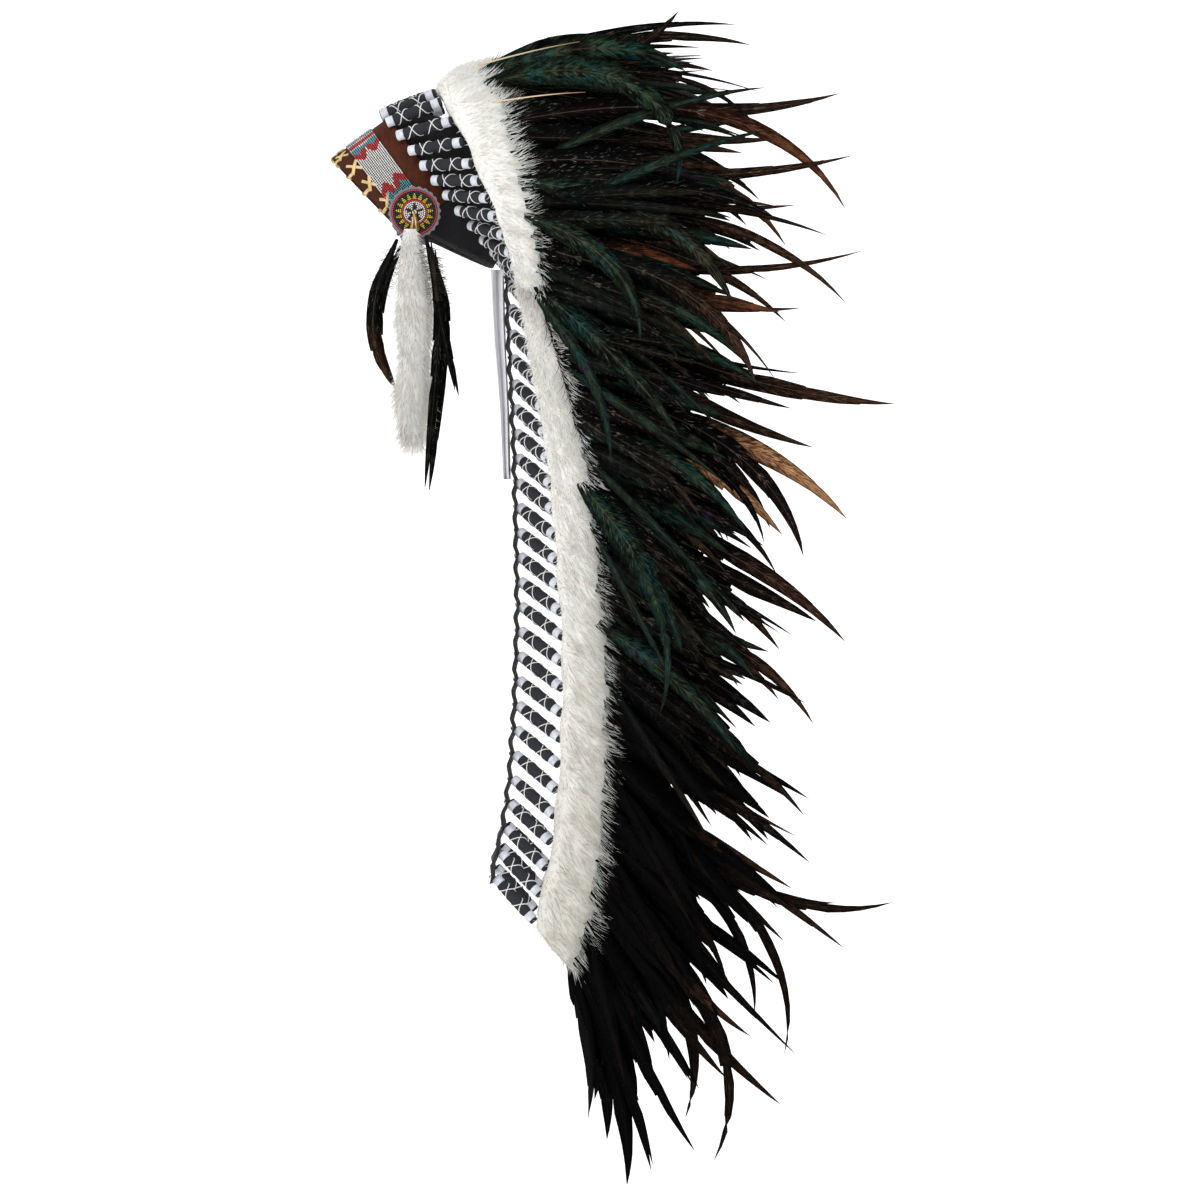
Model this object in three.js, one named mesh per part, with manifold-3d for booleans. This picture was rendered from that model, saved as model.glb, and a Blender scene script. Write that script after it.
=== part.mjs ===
// A long feathered headdress: a felt cap on a suede brow band with beadwork, a ring of wrapped feather
// quills that stand on the band, a white fur ruff over their ends, dark tail feathers, and two trailers
// that hang from the nape with a row of the same wrapped quills, fur and feathers each.
// Millimetres. +Z is up, -Y is the way the wearer faces, +X is the wearer's left. The origin is the
// middle of the head opening, where a head carries the headdress with its brow raised.
import * as THREE from "three";
import { mergeVertices } from "three/addons/utils/BufferGeometryUtils.js";
import Module from "manifold-3d";

const wasm = await Module();
wasm.setup();

// ---- Driving dimensions ----
const headTilt = THREE.MathUtils.degToRad(46); // how far the brow is raised
const gap = 0.4; // free space between touching pieces

const cap = { halfLength: 93.5, halfWidth: 74.5, wall: 2.5, top: 98, fullest: -20 };
// fall: how fast the band's top and the bead panel drop towards the back, per millimetre
const band = {
  halfLength: 99.5, halfWidth: 81, wall: 1.6, lean: 0.145, low: -22, high: 47, fall: 0.105, end: -14,
};
const panel = { halfHeight: 15.8, wall: 1.8, middle: 12, fall: 0.13, end: 16, off: 0.5 };
const rosette = { radius: 23.4, wall: 2.6, forward: -1, up: -0.5 };
const backing = { radius: 25.8, scallop: 0.8, lobes: 24, wall: 1.6 };

const tube = { length: 60, radius: 5.6, sides: 8, trailerSides: 6, clear: 5.8 };
const crownTubes = 13; // wrapped quills on each side of the middle one
const crownPitch = 19; // between them, along the cap
const lastStation = 38; // quills 14 to 38 hang on a trailer
const trailerPitch = 24.8;
const fur = { thickness: 33, ragged: 0.1, clear: 4.3, sides: 8 };
const down = { width: 20, thickness: 18, sides: 6 }; // fluff that the feathers spring from
const blade = { width: 38, thickness: 3.4, steps: 4 };
const strap = { near: 14, far: 36, wall: 2.4, ahead: 3.2, cant: 3, top: -62 };
const ribbon = { wall: 1.2, fold: 1.4 };
const furDrop = { top: -28.4, length: 207, width: 38, thickness: 19.4, middle: -4, outward: 3, sides: 8 };

// ---- Colours ----
const finish = (color, roughness = 0.85) =>
  new THREE.MeshStandardMaterial({ color, roughness, metalness: 0 });
const blackFelt = finish(0x17171b, 0.95);
const suede = finish(0x5a2412, 0.9);
const beadWhite = finish(0xe9ece9, 0.35);
const beadRed = finish(0xa8261f, 0.35);
const greyFelt = finish(0x6d6a72, 0.95);
const wrap = finish(0x26262b, 0.7);
const whiteFur = finish(0xe9e7df, 0.95);
const plume = finish(0x141815, 0.5);
const satin = finish(0x9b9aa3, 0.45);

// ---- Tools ----
const V = (x, y, z) => new THREE.Vector3(x, y, z);
const mix = (a, b, t) => a + (b - a) * t;

// A value from rows of {at, column...}, straight between them.
function read(rows, at, column) {
  const last = rows.length - 1;
  if (at <= rows[0].at) return rows[0][column];
  if (at >= rows[last].at) return rows[last][column];
  const i = rows.findIndex((row) => row.at > at);
  const [a, b] = [rows[i - 1], rows[i]];
  return mix(a[column], b[column], (at - a.at) / (b.at - a.at));
}

// An even scatter from -0.5 to 0.5 that is the same at every run.
const scatter = (i, k = 0) => ((i * 0.618034 + k * 0.754878 + 7.3) % 1) - 0.5;

// A closed solid through rings of points. Each ring turns the same way; a ring of one point is a tip.
function loft(rings) {
  const points = rings.flat();
  const starts = rings.map((_, i) => rings.slice(0, i).reduce((n, r) => n + r.length, 0));
  const faces = [];
  for (let i = 0; i + 1 < rings.length; i++) {
    const [a, b] = [rings[i].length, rings[i + 1].length];
    const n = Math.max(a, b);
    for (let j = 0; j < n; j++) {
      const [p, q] = [starts[i] + (j % a), starts[i] + ((j + 1) % a)];
      const [r, s] = [starts[i + 1] + (j % b), starts[i + 1] + ((j + 1) % b)];
      if (a > 1) faces.push(p, q, s);
      if (b > 1) faces.push(p, s, r);
    }
  }
  const close = (start, count, flip) => {
    for (let j = 1; j + 1 < count; j++) {
      faces.push(start, start + (flip ? j + 1 : j), start + (flip ? j : j + 1));
    }
  };
  close(starts[0], rings[0].length, true);
  close(starts.at(-1), rings.at(-1).length, false);
  const geometry = new THREE.BufferGeometry().setFromPoints(points);
  geometry.setIndex(faces);
  return geometry;
}

function solid(geometry) {
  const bare = new THREE.BufferGeometry().setAttribute("position", geometry.getAttribute("position"));
  bare.setIndex(geometry.getIndex());
  const merged = mergeVertices(bare, 1e-4);
  const made = new wasm.Manifold(
    new wasm.Mesh({
      numProp: 3,
      vertProperties: new Float32Array(merged.attributes.position.array),
      triVerts: new Uint32Array(merged.index.array),
    }),
  );
  if (made.volume() >= 0) return made;
  const turned = new Uint32Array(merged.index.array);
  for (let i = 0; i < turned.length; i += 3) [turned[i + 1], turned[i + 2]] = [turned[i + 2], turned[i + 1]];
  return new wasm.Manifold(
    new wasm.Mesh({
      numProp: 3,
      vertProperties: new Float32Array(merged.attributes.position.array),
      triVerts: turned,
    }),
  );
}

function geometryOf(manifold) {
  const mesh = manifold.getMesh();
  const geometry = new THREE.BufferGeometry();
  geometry.setAttribute("position", new THREE.BufferAttribute(new Float32Array(mesh.vertProperties), 3));
  geometry.setIndex(new THREE.BufferAttribute(new Uint32Array(mesh.triVerts), 1));
  return geometry;
}

const join = (geometries) => geometryOf(wasm.Manifold.union(geometries.map(solid)));

const group = new THREE.Group();
function piece(name, geometry, material) {
  const facingOut = geometryOf(solid(geometry));
  facingOut.computeVertexNormals();
  const mesh = new THREE.Mesh(facingOut, material);
  mesh.name = name;
  group.add(mesh);
  return mesh;
}

const sides = [
  { name: "left", sign: 1 },
  { name: "right", sign: -1 },
];

// ---- The head opening ----
// The head's own frame: +Y back, +Z to the crown of the head, before the brow is raised.
const raise = (p) => p.clone().applyAxisAngle(V(1, 0, 0), -headTilt);

// The outline of the opening seen from above, a rounded square at the brow and an oval at the nape.
// angle 0 is the brow, a quarter turn is the left ear.
function outline(angle, halfLength, halfWidth) {
  const [s, c] = [Math.sin(angle), Math.cos(angle)];
  const squareness = c > 0 ? 3.2 : 2.1;
  const power = 2 / squareness;
  return V(halfWidth * Math.sign(s) * Math.abs(s) ** power, -halfLength * Math.sign(c) * Math.abs(c) ** power, 0);
}

// How far the cap has drawn in at a height, 1 at its fullest and 0 at the top.
function draw(height) {
  const share = Math.min(1, Math.max(0, (height - cap.fullest) / (cap.top - cap.fullest)));
  return (1 - share ** 2.6) ** (1 / 2.6);
}

// A point on the cap's outer face, or grown out of it.
function capPoint(angle, height, grow = 0) {
  const at = (a, h) => outline(a, cap.halfLength, cap.halfWidth).multiplyScalar(draw(h)).setZ(h);
  const point = at(angle, height);
  const along = at(angle + 0.02, height).sub(at(angle - 0.02, height));
  const upward = at(angle, Math.min(height + 1, cap.top)).sub(at(angle, height - 1));
  return point.add(along.cross(upward).normalize().multiplyScalar(grow));
}

// A point on the brow band's outer face, or grown out of it.
function bandPoint(angle, height, grow = 0) {
  const at = (a) => outline(a, band.halfLength, band.halfWidth);
  const along = at(angle + 0.02).sub(at(angle - 0.02)).normalize();
  const out = V(-along.y, along.x, 0).multiplyScalar(-1);
  if (out.dot(at(angle)) < 0) out.negate();
  return at(angle).addScaledVector(out, grow - band.lean * (height - band.low)).setZ(height);
}

// The angle on the left side at which an outline passes a place behind the brow.
function angleAt(back, halfLength, halfWidth) {
  let [low, high] = [0, Math.PI];
  for (let i = 0; i < 40; i++) {
    const middle = (low + high) / 2;
    if (outline(middle, halfLength, halfWidth).y < back) low = middle;
    else high = middle;
  }
  return low;
}

// ---- Cap ----
const capLow = (y) => (y < -10 ? -19 : mix(-19, 20.5, (y + 10) / 110));
function capShell() {
  const [around, rows] = [28, 6];
  const wallRings = (grow) => {
    const rings = [];
    for (let i = 0; i < rows; i++) {
      const ring = [];
      for (let j = 0; j < around; j++) {
        const angle = (j / around) * 2 * Math.PI;
        const low = capLow(outline(angle, cap.halfLength, cap.halfWidth).y);
        const height = mix(low, cap.top - 1, Math.sin(((i / rows) * Math.PI) / 2));
        ring.push(raise(capPoint(angle, height, grow)));
      }
      rings.push(ring);
    }
    return rings;
  };
  const outer = wallRings(0);
  const inner = wallRings(-cap.wall);
  return loft([[raise(V(0, 0, cap.top - cap.wall))], ...inner.reverse(), ...outer, [raise(V(0, 0, cap.top))]]);
}
piece("cap", capShell(), blackFelt);

// ---- Brow band and bead panel ----
// A wall that follows the band from one side round the brow to the other.
function strip(end, low, high, wall, lift, steps) {
  const rings = [];
  for (let i = 0; i <= steps; i++) {
    const angle = mix(-end, end, i / steps);
    const y = outline(angle, band.halfLength, band.halfWidth).y;
    const [bottom, top] = [low(y), high(y)];
    rings.push(
      [
        bandPoint(angle, bottom, lift),
        bandPoint(angle, bottom, lift - wall),
        bandPoint(angle, top, lift - wall),
        bandPoint(angle, top, lift),
      ].map(raise),
    );
  }
  return loft(rings);
}
const fall = (start, rate) => (y) => start - rate * (y + band.halfLength);
const bandEnd = angleAt(-band.end, band.halfLength, band.halfWidth);
piece("brow_band", strip(bandEnd, () => band.low, fall(band.high, band.fall), band.wall, 0, 30), suede);

const panelEnd = angleAt(-panel.end, band.halfLength, band.halfWidth);
const panelEdge = (half) => fall(panel.middle + half, panel.fall);
piece(
  "bead_panel",
  strip(
    panelEnd,
    panelEdge(-panel.halfHeight),
    panelEdge(panel.halfHeight),
    panel.wall,
    panel.wall + panel.off,
    28,
  ),
  beadWhite,
);

// ---- Rosettes ----
const rosetteFace = bandPoint(Math.PI / 2, band.low).x + panel.wall + 2 * gap;
function rosettePieces({ name, sign }) {
  const shape = new THREE.Shape();
  const steps = backing.lobes * 2;
  for (let i = 0; i < steps; i++) {
    const angle = (i / steps) * 2 * Math.PI;
    const radius = backing.radius + (i % 2 ? backing.scallop : -backing.scallop);
    const point = [radius * Math.cos(angle), radius * Math.sin(angle)];
    if (i) shape.lineTo(...point);
    else shape.moveTo(...point);
  }
  const place = (geometry, x) => {
    geometry.rotateY((sign * Math.PI) / 2);
    geometry.translate(sign * x, -rosette.forward, rosette.up);
    geometry.rotateX(-headTilt);
    return geometry;
  };
  const felt = new THREE.ExtrudeGeometry(shape, { depth: backing.wall, bevelEnabled: false });
  piece("rosette_backing_" + name, place(felt, rosetteFace), greyFelt);
  const profile = [
    new THREE.Vector2(0, 0),
    new THREE.Vector2(rosette.radius - 0.6, 0),
    new THREE.Vector2(rosette.radius, 0.8),
    new THREE.Vector2(rosette.radius - 0.8, rosette.wall - 0.4),
    new THREE.Vector2(rosette.radius * 0.5, rosette.wall),
    new THREE.Vector2(0, rosette.wall),
  ];
  const disc = new THREE.LatheGeometry(profile, 24).rotateX(Math.PI / 2);
  piece("rosette_" + name, place(disc, rosetteFace + backing.wall + gap), beadRed);
}
sides.forEach(rosettePieces);

// ---- Wrapped quills ----
// Stations count the quills of one side: 0 in the middle of the brow, 13 at the nape, 14 to 38 down a
// trailer. A base is where a quill starts, and a way is the direction that it points in.
const crown = [
  // at: station; up: height of the base; out, back, rise: the way
  { at: 0, up: 42.0, out: 0.0, back: 0.38, rise: 0.92 },
  { at: 3, up: 38.0, out: 0.1, back: 0.39, rise: 0.91 },
  { at: 6, up: 34.0, out: 0.48, back: 0.6, rise: 0.64 },
  { at: 9, up: 29.5, out: 0.7, back: 0.58, rise: 0.4 },
  { at: 11, up: 28.0, out: 0.8, back: 0.57, rise: 0.18 },
  { at: 13, up: 27.0, out: 0.86, back: 0.5, rise: 0.0 },
];
const trailer = [
  // at: station; back: place of the base; splay: out of the middle plane; droop: below level; higher:
  // how much higher the right trailer's quill hangs than the left one's
  { at: 14, back: 95, splay: 61, droop: 50, higher: 3 },
  { at: 16, back: 97, splay: 54, droop: 47, higher: 2 },
  { at: 18, back: 99.5, splay: 47, droop: 43, higher: 0 },
  { at: 21, back: 103, splay: 40, droop: 40, higher: -1 },
  { at: 27, back: 106, splay: 29, droop: 37, higher: -1.5 },
  { at: 31, back: 103, splay: 23, droop: 39, higher: -2 },
  { at: 34, back: 98, splay: 20, droop: 42, higher: -1.5 },
  { at: 36, back: 91, splay: 17, droop: 45, higher: 2 },
  { at: 38, back: 80, splay: 10, droop: 48, higher: 9 },
];
const quillX = (strap.near + strap.far) / 2;
function baseHeight(station, sign) {
  const onLeft = -70 - (station - crownTubes - 1) * trailerPitch;
  return sign > 0 ? onLeft : onLeft + read(trailer, station, "higher");
}

// Angles on the left of the cap at equal steps along it.
function evenAngles(count, pitch) {
  const angles = [0];
  const at = (angle) => outline(angle, cap.halfLength, cap.halfWidth);
  let [angle, last, walked] = [0, at(0), 0];
  while (angles.length <= count) {
    angle += 0.0005;
    const here = at(angle);
    walked += here.distanceTo(last);
    last = here;
    if (walked >= angles.length * pitch) angles.push(angle);
  }
  return angles;
}
const crownAngles = evenAngles(crownTubes, crownPitch);

function direction(splayDegrees, droopDegrees, sign) {
  const splay = THREE.MathUtils.degToRad(splayDegrees);
  const droop = THREE.MathUtils.degToRad(droopDegrees);
  return V(sign * Math.sin(splay), Math.cos(splay) * Math.cos(droop), -Math.cos(splay) * Math.sin(droop));
}

// Where the quill of a whole station starts and points.
function quill(station, { sign }) {
  if (station <= crownTubes) {
    const base = capPoint(crownAngles[station], read(crown, station, "up"), tube.radius + tube.clear);
    const way = V(read(crown, station, "out"), read(crown, station, "back"), read(crown, station, "rise"));
    base.x *= sign;
    way.x *= sign;
    return { base: raise(base), way: raise(way).normalize() };
  }
  const base = V(sign * quillX, read(trailer, station, "back"), baseHeight(station, sign));
  return { base, way: direction(read(trailer, station, "splay"), read(trailer, station, "droop"), sign) };
}

function quillSolid({ base, way }, facets = tube.sides) {
  const profile = [
    new THREE.Vector2(0, 0),
    new THREE.Vector2(tube.radius, 0),
    new THREE.Vector2(tube.radius, tube.length),
    new THREE.Vector2(0, tube.length),
  ];
  const geometry = new THREE.LatheGeometry(profile, facets);
  geometry.applyQuaternion(new THREE.Quaternion().setFromUnitVectors(V(0, 1, 0), way));
  return geometry.translate(base.x, base.y, base.z);
}

piece("crown_quill_0", quillSolid(quill(0, sides[0])), wrap);
for (const side of sides) {
  for (let i = 1; i <= crownTubes; i++) {
    piece(`crown_quill_${side.name}_${i}`, quillSolid(quill(i, side)), wrap);
  }
}

// ---- Trailers: a webbing strap with its quills sewn on ----
function strapGeometry({ sign }) {
  const heights = trailer.map(({ at }) => baseHeight(at, sign));
  const stretch = [strap.top, ...heights.slice(1, -1), heights.at(-1) - tube.radius];
  const [near, far] = [sign * strap.near, sign * strap.far];
  const rings = stretch.map((z, i) => {
    const front = trailer[i].back - strap.ahead;
    const [farFront, back] = [front - strap.cant, front + strap.wall];
    return [V(near, front, z), V(far, farFront, z), V(far, farFront + strap.wall, z), V(near, back, z)];
  });
  return loft(rings);
}
for (const side of sides) {
  const parts = [strapGeometry(side)];
  for (let i = crownTubes + 1; i <= lastStation; i++) parts.push(quillSolid(quill(i, side), tube.trailerSides));
  piece("trailer_" + side.name, join(parts), wrap);
}

// ---- Fur ruff ----
const ruff = [
  // at: station; width: from the quills to the feathers
  { at: 0, width: 50 },
  { at: 13, width: 53 },
  { at: 20, width: 58 },
  { at: 38, width: 64 },
];

// A point beyond a quill's base along its way, at any station between two quills.
function beyond(station, side, distance) {
  const low = Math.min(lastStation, Math.floor(station));
  const high = Math.min(lastStation, low + 1);
  const [a, b] = [quill(low, side), quill(high, side)];
  const way = a.way.clone().lerp(b.way, station - low).normalize();
  const base = a.base.clone().lerp(b.base, station - low);
  return { at: base.addScaledVector(way, distance), way };
}

// The direction in which the line of quills runs at a station.
function along(station, side, distance) {
  const [low, high] = [Math.max(0, station - 1), Math.min(lastStation, station + 1)];
  const run = beyond(high, side, distance).at.sub(beyond(low, side, distance).at);
  if (station < 0.5 && side.sign > 0) run.x = Math.abs(run.x) + 4;
  return run.normalize();
}

// An oval ring round a point beyond the quills: width lies along the way, thickness across it.
function ovalRing(station, side, distance, width, thickness, count) {
  const { at, way } = beyond(station, side, distance);
  const run = along(station, side, distance);
  const across = run.clone().cross(way).normalize();
  const ring = [];
  for (let i = 0; i < count; i++) {
    const angle = (i / count) * 2 * Math.PI;
    const rough = 1 + fur.ragged * scatter(i, station * 3.1);
    const point = at.clone().addScaledVector(way, (Math.cos(angle) * width) / 2);
    ring.push(point.addScaledVector(across, (Math.sin(angle) * thickness * rough) / 2));
  }
  return side.sign > 0 ? ring : [ring[0], ...ring.slice(1).reverse()];
}
const furStart = tube.length + fur.clear;
function furRing(station, side) {
  const width = read(ruff, station, "width");
  return ovalRing(station, side, furStart + width / 2, width, fur.thickness, fur.sides);
}

function crownFur() {
  const rings = [];
  for (let i = -crownTubes; i <= crownTubes; i++) rings.push(furRing(Math.abs(i), sides[i < 0 ? 1 : 0]));
  return loft(rings);
}
piece("crown_fur", crownFur(), whiteFur);

const seam = 0.12; // stations left open between the ruff on the crown and on a trailer
function trailerFur(side) {
  const rings = [furRing(crownTubes + seam, side)];
  for (let i = crownTubes + 1; i <= lastStation; i += 2) rings.push(furRing(i, side));
  rings.push(furRing(lastStation, side));
  return loft(rings);
}
for (const side of sides) piece("trailer_fur_" + side.name, trailerFur(side), whiteFur);

// ---- Feathers ----
// One blade for each quill. It leaves the ruff at an angle below level, bends further by its curl, and
// turns in from its splay to the middle plane.
const plumage = [
  // at: station; fall: degrees below level; curl: more at the tip; reach: length; splay: at the root
  { at: 0, fall: -5, curl: 6, reach: 270, splay: 2 },
  { at: 2, fall: -3, curl: 8, reach: 310, splay: 8 },
  { at: 5, fall: -2, curl: 20, reach: 350, splay: 26 },
  { at: 8, fall: 0, curl: 16, reach: 355, splay: 38 },
  { at: 11, fall: 10, curl: 10, reach: 345, splay: 46 },
  { at: 14, fall: 22, curl: 2, reach: 330, splay: 48 },
  { at: 18, fall: 30, curl: 0, reach: 305, splay: 40 },
  { at: 22, fall: 36, curl: 0, reach: 290, splay: 34 },
  { at: 27, fall: 40, curl: -4, reach: 275, splay: 28 },
  { at: 32, fall: 42, curl: -4, reach: 270, splay: 24 },
  { at: 35, fall: 48, curl: 4, reach: 265, splay: 18 },
  { at: 38, fall: 62, curl: 8, reach: 215, splay: 12 },
];
const spread = 26; // degrees of scatter between neighbours
const downMiddle = (station) => furStart + read(ruff, station, "width") + 1.5 + down.width / 2;

// A thin three-sided section of a feather at a share t of its length.
function bladeRing(at, broad, flat, width, t) {
  const half = (width / 2) * Math.min(1, 0.5 + 1.6 * t, 1.5 * (1.04 - t));
  const thick = blade.thickness * (1 - 0.6 * t);
  return [
    at.clone().addScaledVector(broad, half),
    at.clone().addScaledVector(flat, thick),
    at.clone().addScaledVector(broad, -half),
  ];
}

function bladeGeometry(station, side, count) {
  const start = beyond(station, side, downMiddle(station)).at;
  const fall = read(plumage, station, "fall") + spread * scatter(count, 1);
  const reach = read(plumage, station, "reach") * (0.92 + 0.3 * scatter(count, 2));
  const curl = read(plumage, station, "curl") + 24 * scatter(count, 3);
  const splay = read(plumage, station, "splay") * (1 + 0.3 * scatter(count, 4));
  const roll = THREE.MathUtils.degToRad(50 * scatter(count, 5));
  const run = along(station, side, downMiddle(station));
  const rings = [];
  const at = start.clone();
  for (let i = 0; i <= blade.steps; i++) {
    const t = i / blade.steps;
    const way = direction(splay * (1 - 0.7 * t), fall + curl * t * t, side.sign);
    if (i) at.addScaledVector(way, reach / blade.steps);
    if (i === blade.steps) {
      rings.push([at.clone()]);
      break;
    }
    const broad = run.clone().addScaledVector(way, -run.dot(way)).normalize().applyAxisAngle(way, roll);
    const flat = way.clone().cross(broad);
    rings.push(bladeRing(at, broad, flat, blade.width, t));
  }
  return loft(rings);
}

function feathers(side) {
  const rings = [];
  const first = side.sign > 0 ? 0.35 : 0.6;
  for (let i = 0; i <= lastStation; i += i <= crownTubes ? 1 : 2) {
    const station = Math.max(first, i);
    rings.push(ovalRing(station, side, downMiddle(station), down.width, down.thickness, down.sides));
  }
  const parts = [loft(rings)];
  for (let i = 1; i <= lastStation; i++) parts.push(bladeGeometry(i, side, i + 50 * side.sign + 50));
  return join(parts);
}
for (const side of sides) piece("feathers_" + side.name, feathers(side), plume);

// ---- Ribbons that fall from the nape in front of each strap ----
const ribbonRows = [
  // at: height; front, back: its two edges
  { at: -62, front: 75, back: 88 },
  { at: -130, front: 79, back: 90 },
  { at: -200, front: 85, back: 93.5 },
  { at: -262, front: 88, back: 95 },
];
function ribbonGeometry({ sign }) {
  const steps = 12;
  const rings = [];
  for (let i = 0; i <= steps; i++) {
    const z = mix(ribbonRows[0].at, ribbonRows.at(-1).at, i / steps);
    const down = ribbonRows.map((row) => ({ ...row, at: -row.at }));
    const [front, back] = [read(down, -z, "front"), read(down, -z, "back")];
    const x = sign * quillX + ribbon.fold * Math.sin(i * 1.9);
    rings.push([V(x, front, z), V(x + ribbon.wall, front, z), V(x + ribbon.wall, back, z), V(x, back, z)]);
  }
  return loft(rings);
}
for (const side of sides) piece("ribbon_" + side.name, ribbonGeometry(side), satin);

// ---- Drops under each rosette: a strip of fur and three feathers ----
function furDropGeometry({ sign }) {
  const steps = 8;
  const rings = [];
  for (let i = 0; i <= steps; i++) {
    const t = i / steps;
    const full = Math.min(1, 0.62 + 1.4 * t, 0.5 + 3.2 * (1 - t));
    const ring = [];
    for (let j = 0; j < furDrop.sides; j++) {
      const angle = (j / furDrop.sides) * 2 * Math.PI;
      const rough = full * (1 + fur.ragged * scatter(j, i));
      const x = sign * (rosetteFace + furDrop.outward) + (Math.cos(angle) * furDrop.thickness * rough) / 2;
      const y = furDrop.middle + (Math.sin(angle) * furDrop.width * rough) / 2;
      ring.push(V(x, y, furDrop.top - furDrop.length * t));
    }
    rings.push(ring);
  }
  return loft(rings);
}

const dropFeathers = [
  // outward: from the face that carries the rosette; path: back and up, from the root to the tip
  { outward: -10, width: 20, path: [[-17, -27], [-38, -80], [-40, -130], [-23, -172]] },
  { outward: 16, width: 19, path: [[12, -27], [25, -90], [22, -160], [11, -275]] },
  { outward: 20, width: 9, path: [[17, -30], [23, -87], [33, -140], [41, -179]] },
];
function dropFeather({ outward, width, path }, { sign }) {
  const x = sign * (rosetteFace + outward);
  const curve = new THREE.CatmullRomCurve3(path.map(([back, up]) => V(x, back, up)));
  const rings = [];
  const steps = 6;
  for (let i = 0; i < steps; i++) {
    const t = i / steps;
    const broad = curve.getTangentAt(t).cross(V(1, 0, 0)).normalize();
    rings.push(bladeRing(curve.getPointAt(t), broad, V(sign, 0, 0), width, t));
  }
  return loft([...rings, [curve.getPointAt(1)]]);
}
for (const side of sides) {
  piece("fur_drop_" + side.name, furDropGeometry(side), whiteFur);
  dropFeathers.forEach((row, i) => piece(`drop_feather_${side.name}_${i + 1}`, dropFeather(row, side), plume));
}

export default group;
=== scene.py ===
"""A feathered headdress with long twin trailers, dressed over its solid frame.

Lengths in the tables are millimetres, as on a maker's pattern, and every mesh is made in metres. +Z is
up, the wearer faces -Y, and +X is the wearer's left. The origin is the middle of the head opening.
"""
import math

import bmesh
import bpy
import numpy as np
from mathutils import Matrix, Vector


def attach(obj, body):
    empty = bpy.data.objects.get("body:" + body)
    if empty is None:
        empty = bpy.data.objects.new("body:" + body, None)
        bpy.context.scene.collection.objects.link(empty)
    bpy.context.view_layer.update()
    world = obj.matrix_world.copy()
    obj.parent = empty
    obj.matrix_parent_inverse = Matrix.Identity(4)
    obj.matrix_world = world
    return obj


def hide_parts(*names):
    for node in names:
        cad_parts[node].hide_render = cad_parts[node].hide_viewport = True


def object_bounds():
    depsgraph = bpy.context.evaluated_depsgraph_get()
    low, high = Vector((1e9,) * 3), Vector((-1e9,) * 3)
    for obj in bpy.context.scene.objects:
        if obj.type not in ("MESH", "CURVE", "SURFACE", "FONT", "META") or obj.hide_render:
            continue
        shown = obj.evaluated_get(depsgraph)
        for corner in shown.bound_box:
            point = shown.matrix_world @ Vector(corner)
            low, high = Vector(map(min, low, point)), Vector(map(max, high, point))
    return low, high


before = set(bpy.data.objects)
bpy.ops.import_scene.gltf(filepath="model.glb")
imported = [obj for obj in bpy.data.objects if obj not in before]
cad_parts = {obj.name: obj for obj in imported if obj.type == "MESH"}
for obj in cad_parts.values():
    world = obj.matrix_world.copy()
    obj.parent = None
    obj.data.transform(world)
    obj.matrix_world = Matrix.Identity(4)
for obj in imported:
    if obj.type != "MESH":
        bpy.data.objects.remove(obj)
solid_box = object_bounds()

MM = 0.001
HEAD_TILT = math.radians(46)
GAP = 0.4

CAP = dict(length=93.5, width=74.5, wall=2.5, top=98.0, fullest=-20.0)
BAND = dict(length=99.5, width=81.0, wall=1.6, lean=0.145, low=-22.0, high=47.0, fall=0.105, end=-14.0)
PANEL = dict(half=15.8, wall=1.8, middle=12.0, fall=0.13, end=16.0)
QUILL = dict(length=60.0, radius=5.6, clear=5.8, tape=7.8)
CROWN_QUILLS = 13
CROWN_PITCH = 19.0
LAST = 38
TRAILER_PITCH = 24.8
FUR_START = QUILL["length"] + 1.8
STRAP = dict(near=14.0, far=36.0, ahead=3.2, cant=3.0, wave=1.8, top=-62.0)
QUILL_X = (STRAP["near"] + STRAP["far"]) / 2
BEAD_PITCH = 2.05
SIDES = (("left", 1), ("right", -1))
HUNG = range(CROWN_QUILLS + 1, LAST + 1)


def table(columns, rows):
    """Rows with named columns."""
    return [dict(zip(columns.split(), row)) for row in rows]


# at: station; up: height of the base; out, back, rise: the way that the quill points in
CROWN = table("at up out back rise", [
    (0, 42.0, 0.0, 0.38, 0.92), (3, 38.0, 0.1, 0.39, 0.91), (6, 34.0, 0.48, 0.6, 0.64),
    (9, 29.5, 0.7, 0.58, 0.4), (11, 28.0, 0.8, 0.57, 0.18), (13, 27.0, 0.86, 0.5, 0.0),
])
# at: station; back: place of the base; splay: out of the middle plane; droop: below level; higher: how
# much higher the right trailer's quill hangs
TRAILER = table("at back splay droop higher", [
    (14, 95, 61, 50, 3), (16, 97, 54, 47, 2), (18, 99.5, 47, 43, 0), (21, 103, 40, 40, -1),
    (27, 106, 29, 37, -1.5), (31, 103, 23, 39, -2), (34, 98, 20, 42, -1.5), (36, 91, 17, 45, 2),
    (38, 80, 10, 48, 9),
])
# How the ruff grows: at: station; width and thickness of its skin
RUFF = table("at width thickness", [
    (0, 50, 25), (13, 55, 27), (15, 78, 29), (18, 79, 31), (23, 70, 30), (28, 65, 30), (38, 68, 30),
])
# The body of the plumage. at: station; fall: degrees below level; curl: more at the tip; reach: length;
# splay: out of the middle plane
PLUMAGE = table("at fall curl reach splay", [
    (0, -12, 6, 220, 3), (3, -9, 14, 240, 16), (6, -3, 18, 240, 30), (9, 6, 14, 240, 40),
    (12, 16, 10, 235, 47), (15, 24, 8, 220, 47), (18.5, 30, 6, 205, 42), (23, 34, 6, 195, 36),
    (29, 38, 4, 200, 28), (33.5, 45, 6, 205, 21), (36, 56, 8, 180, 15), (38, 66, 8, 150, 10),
])
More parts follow.
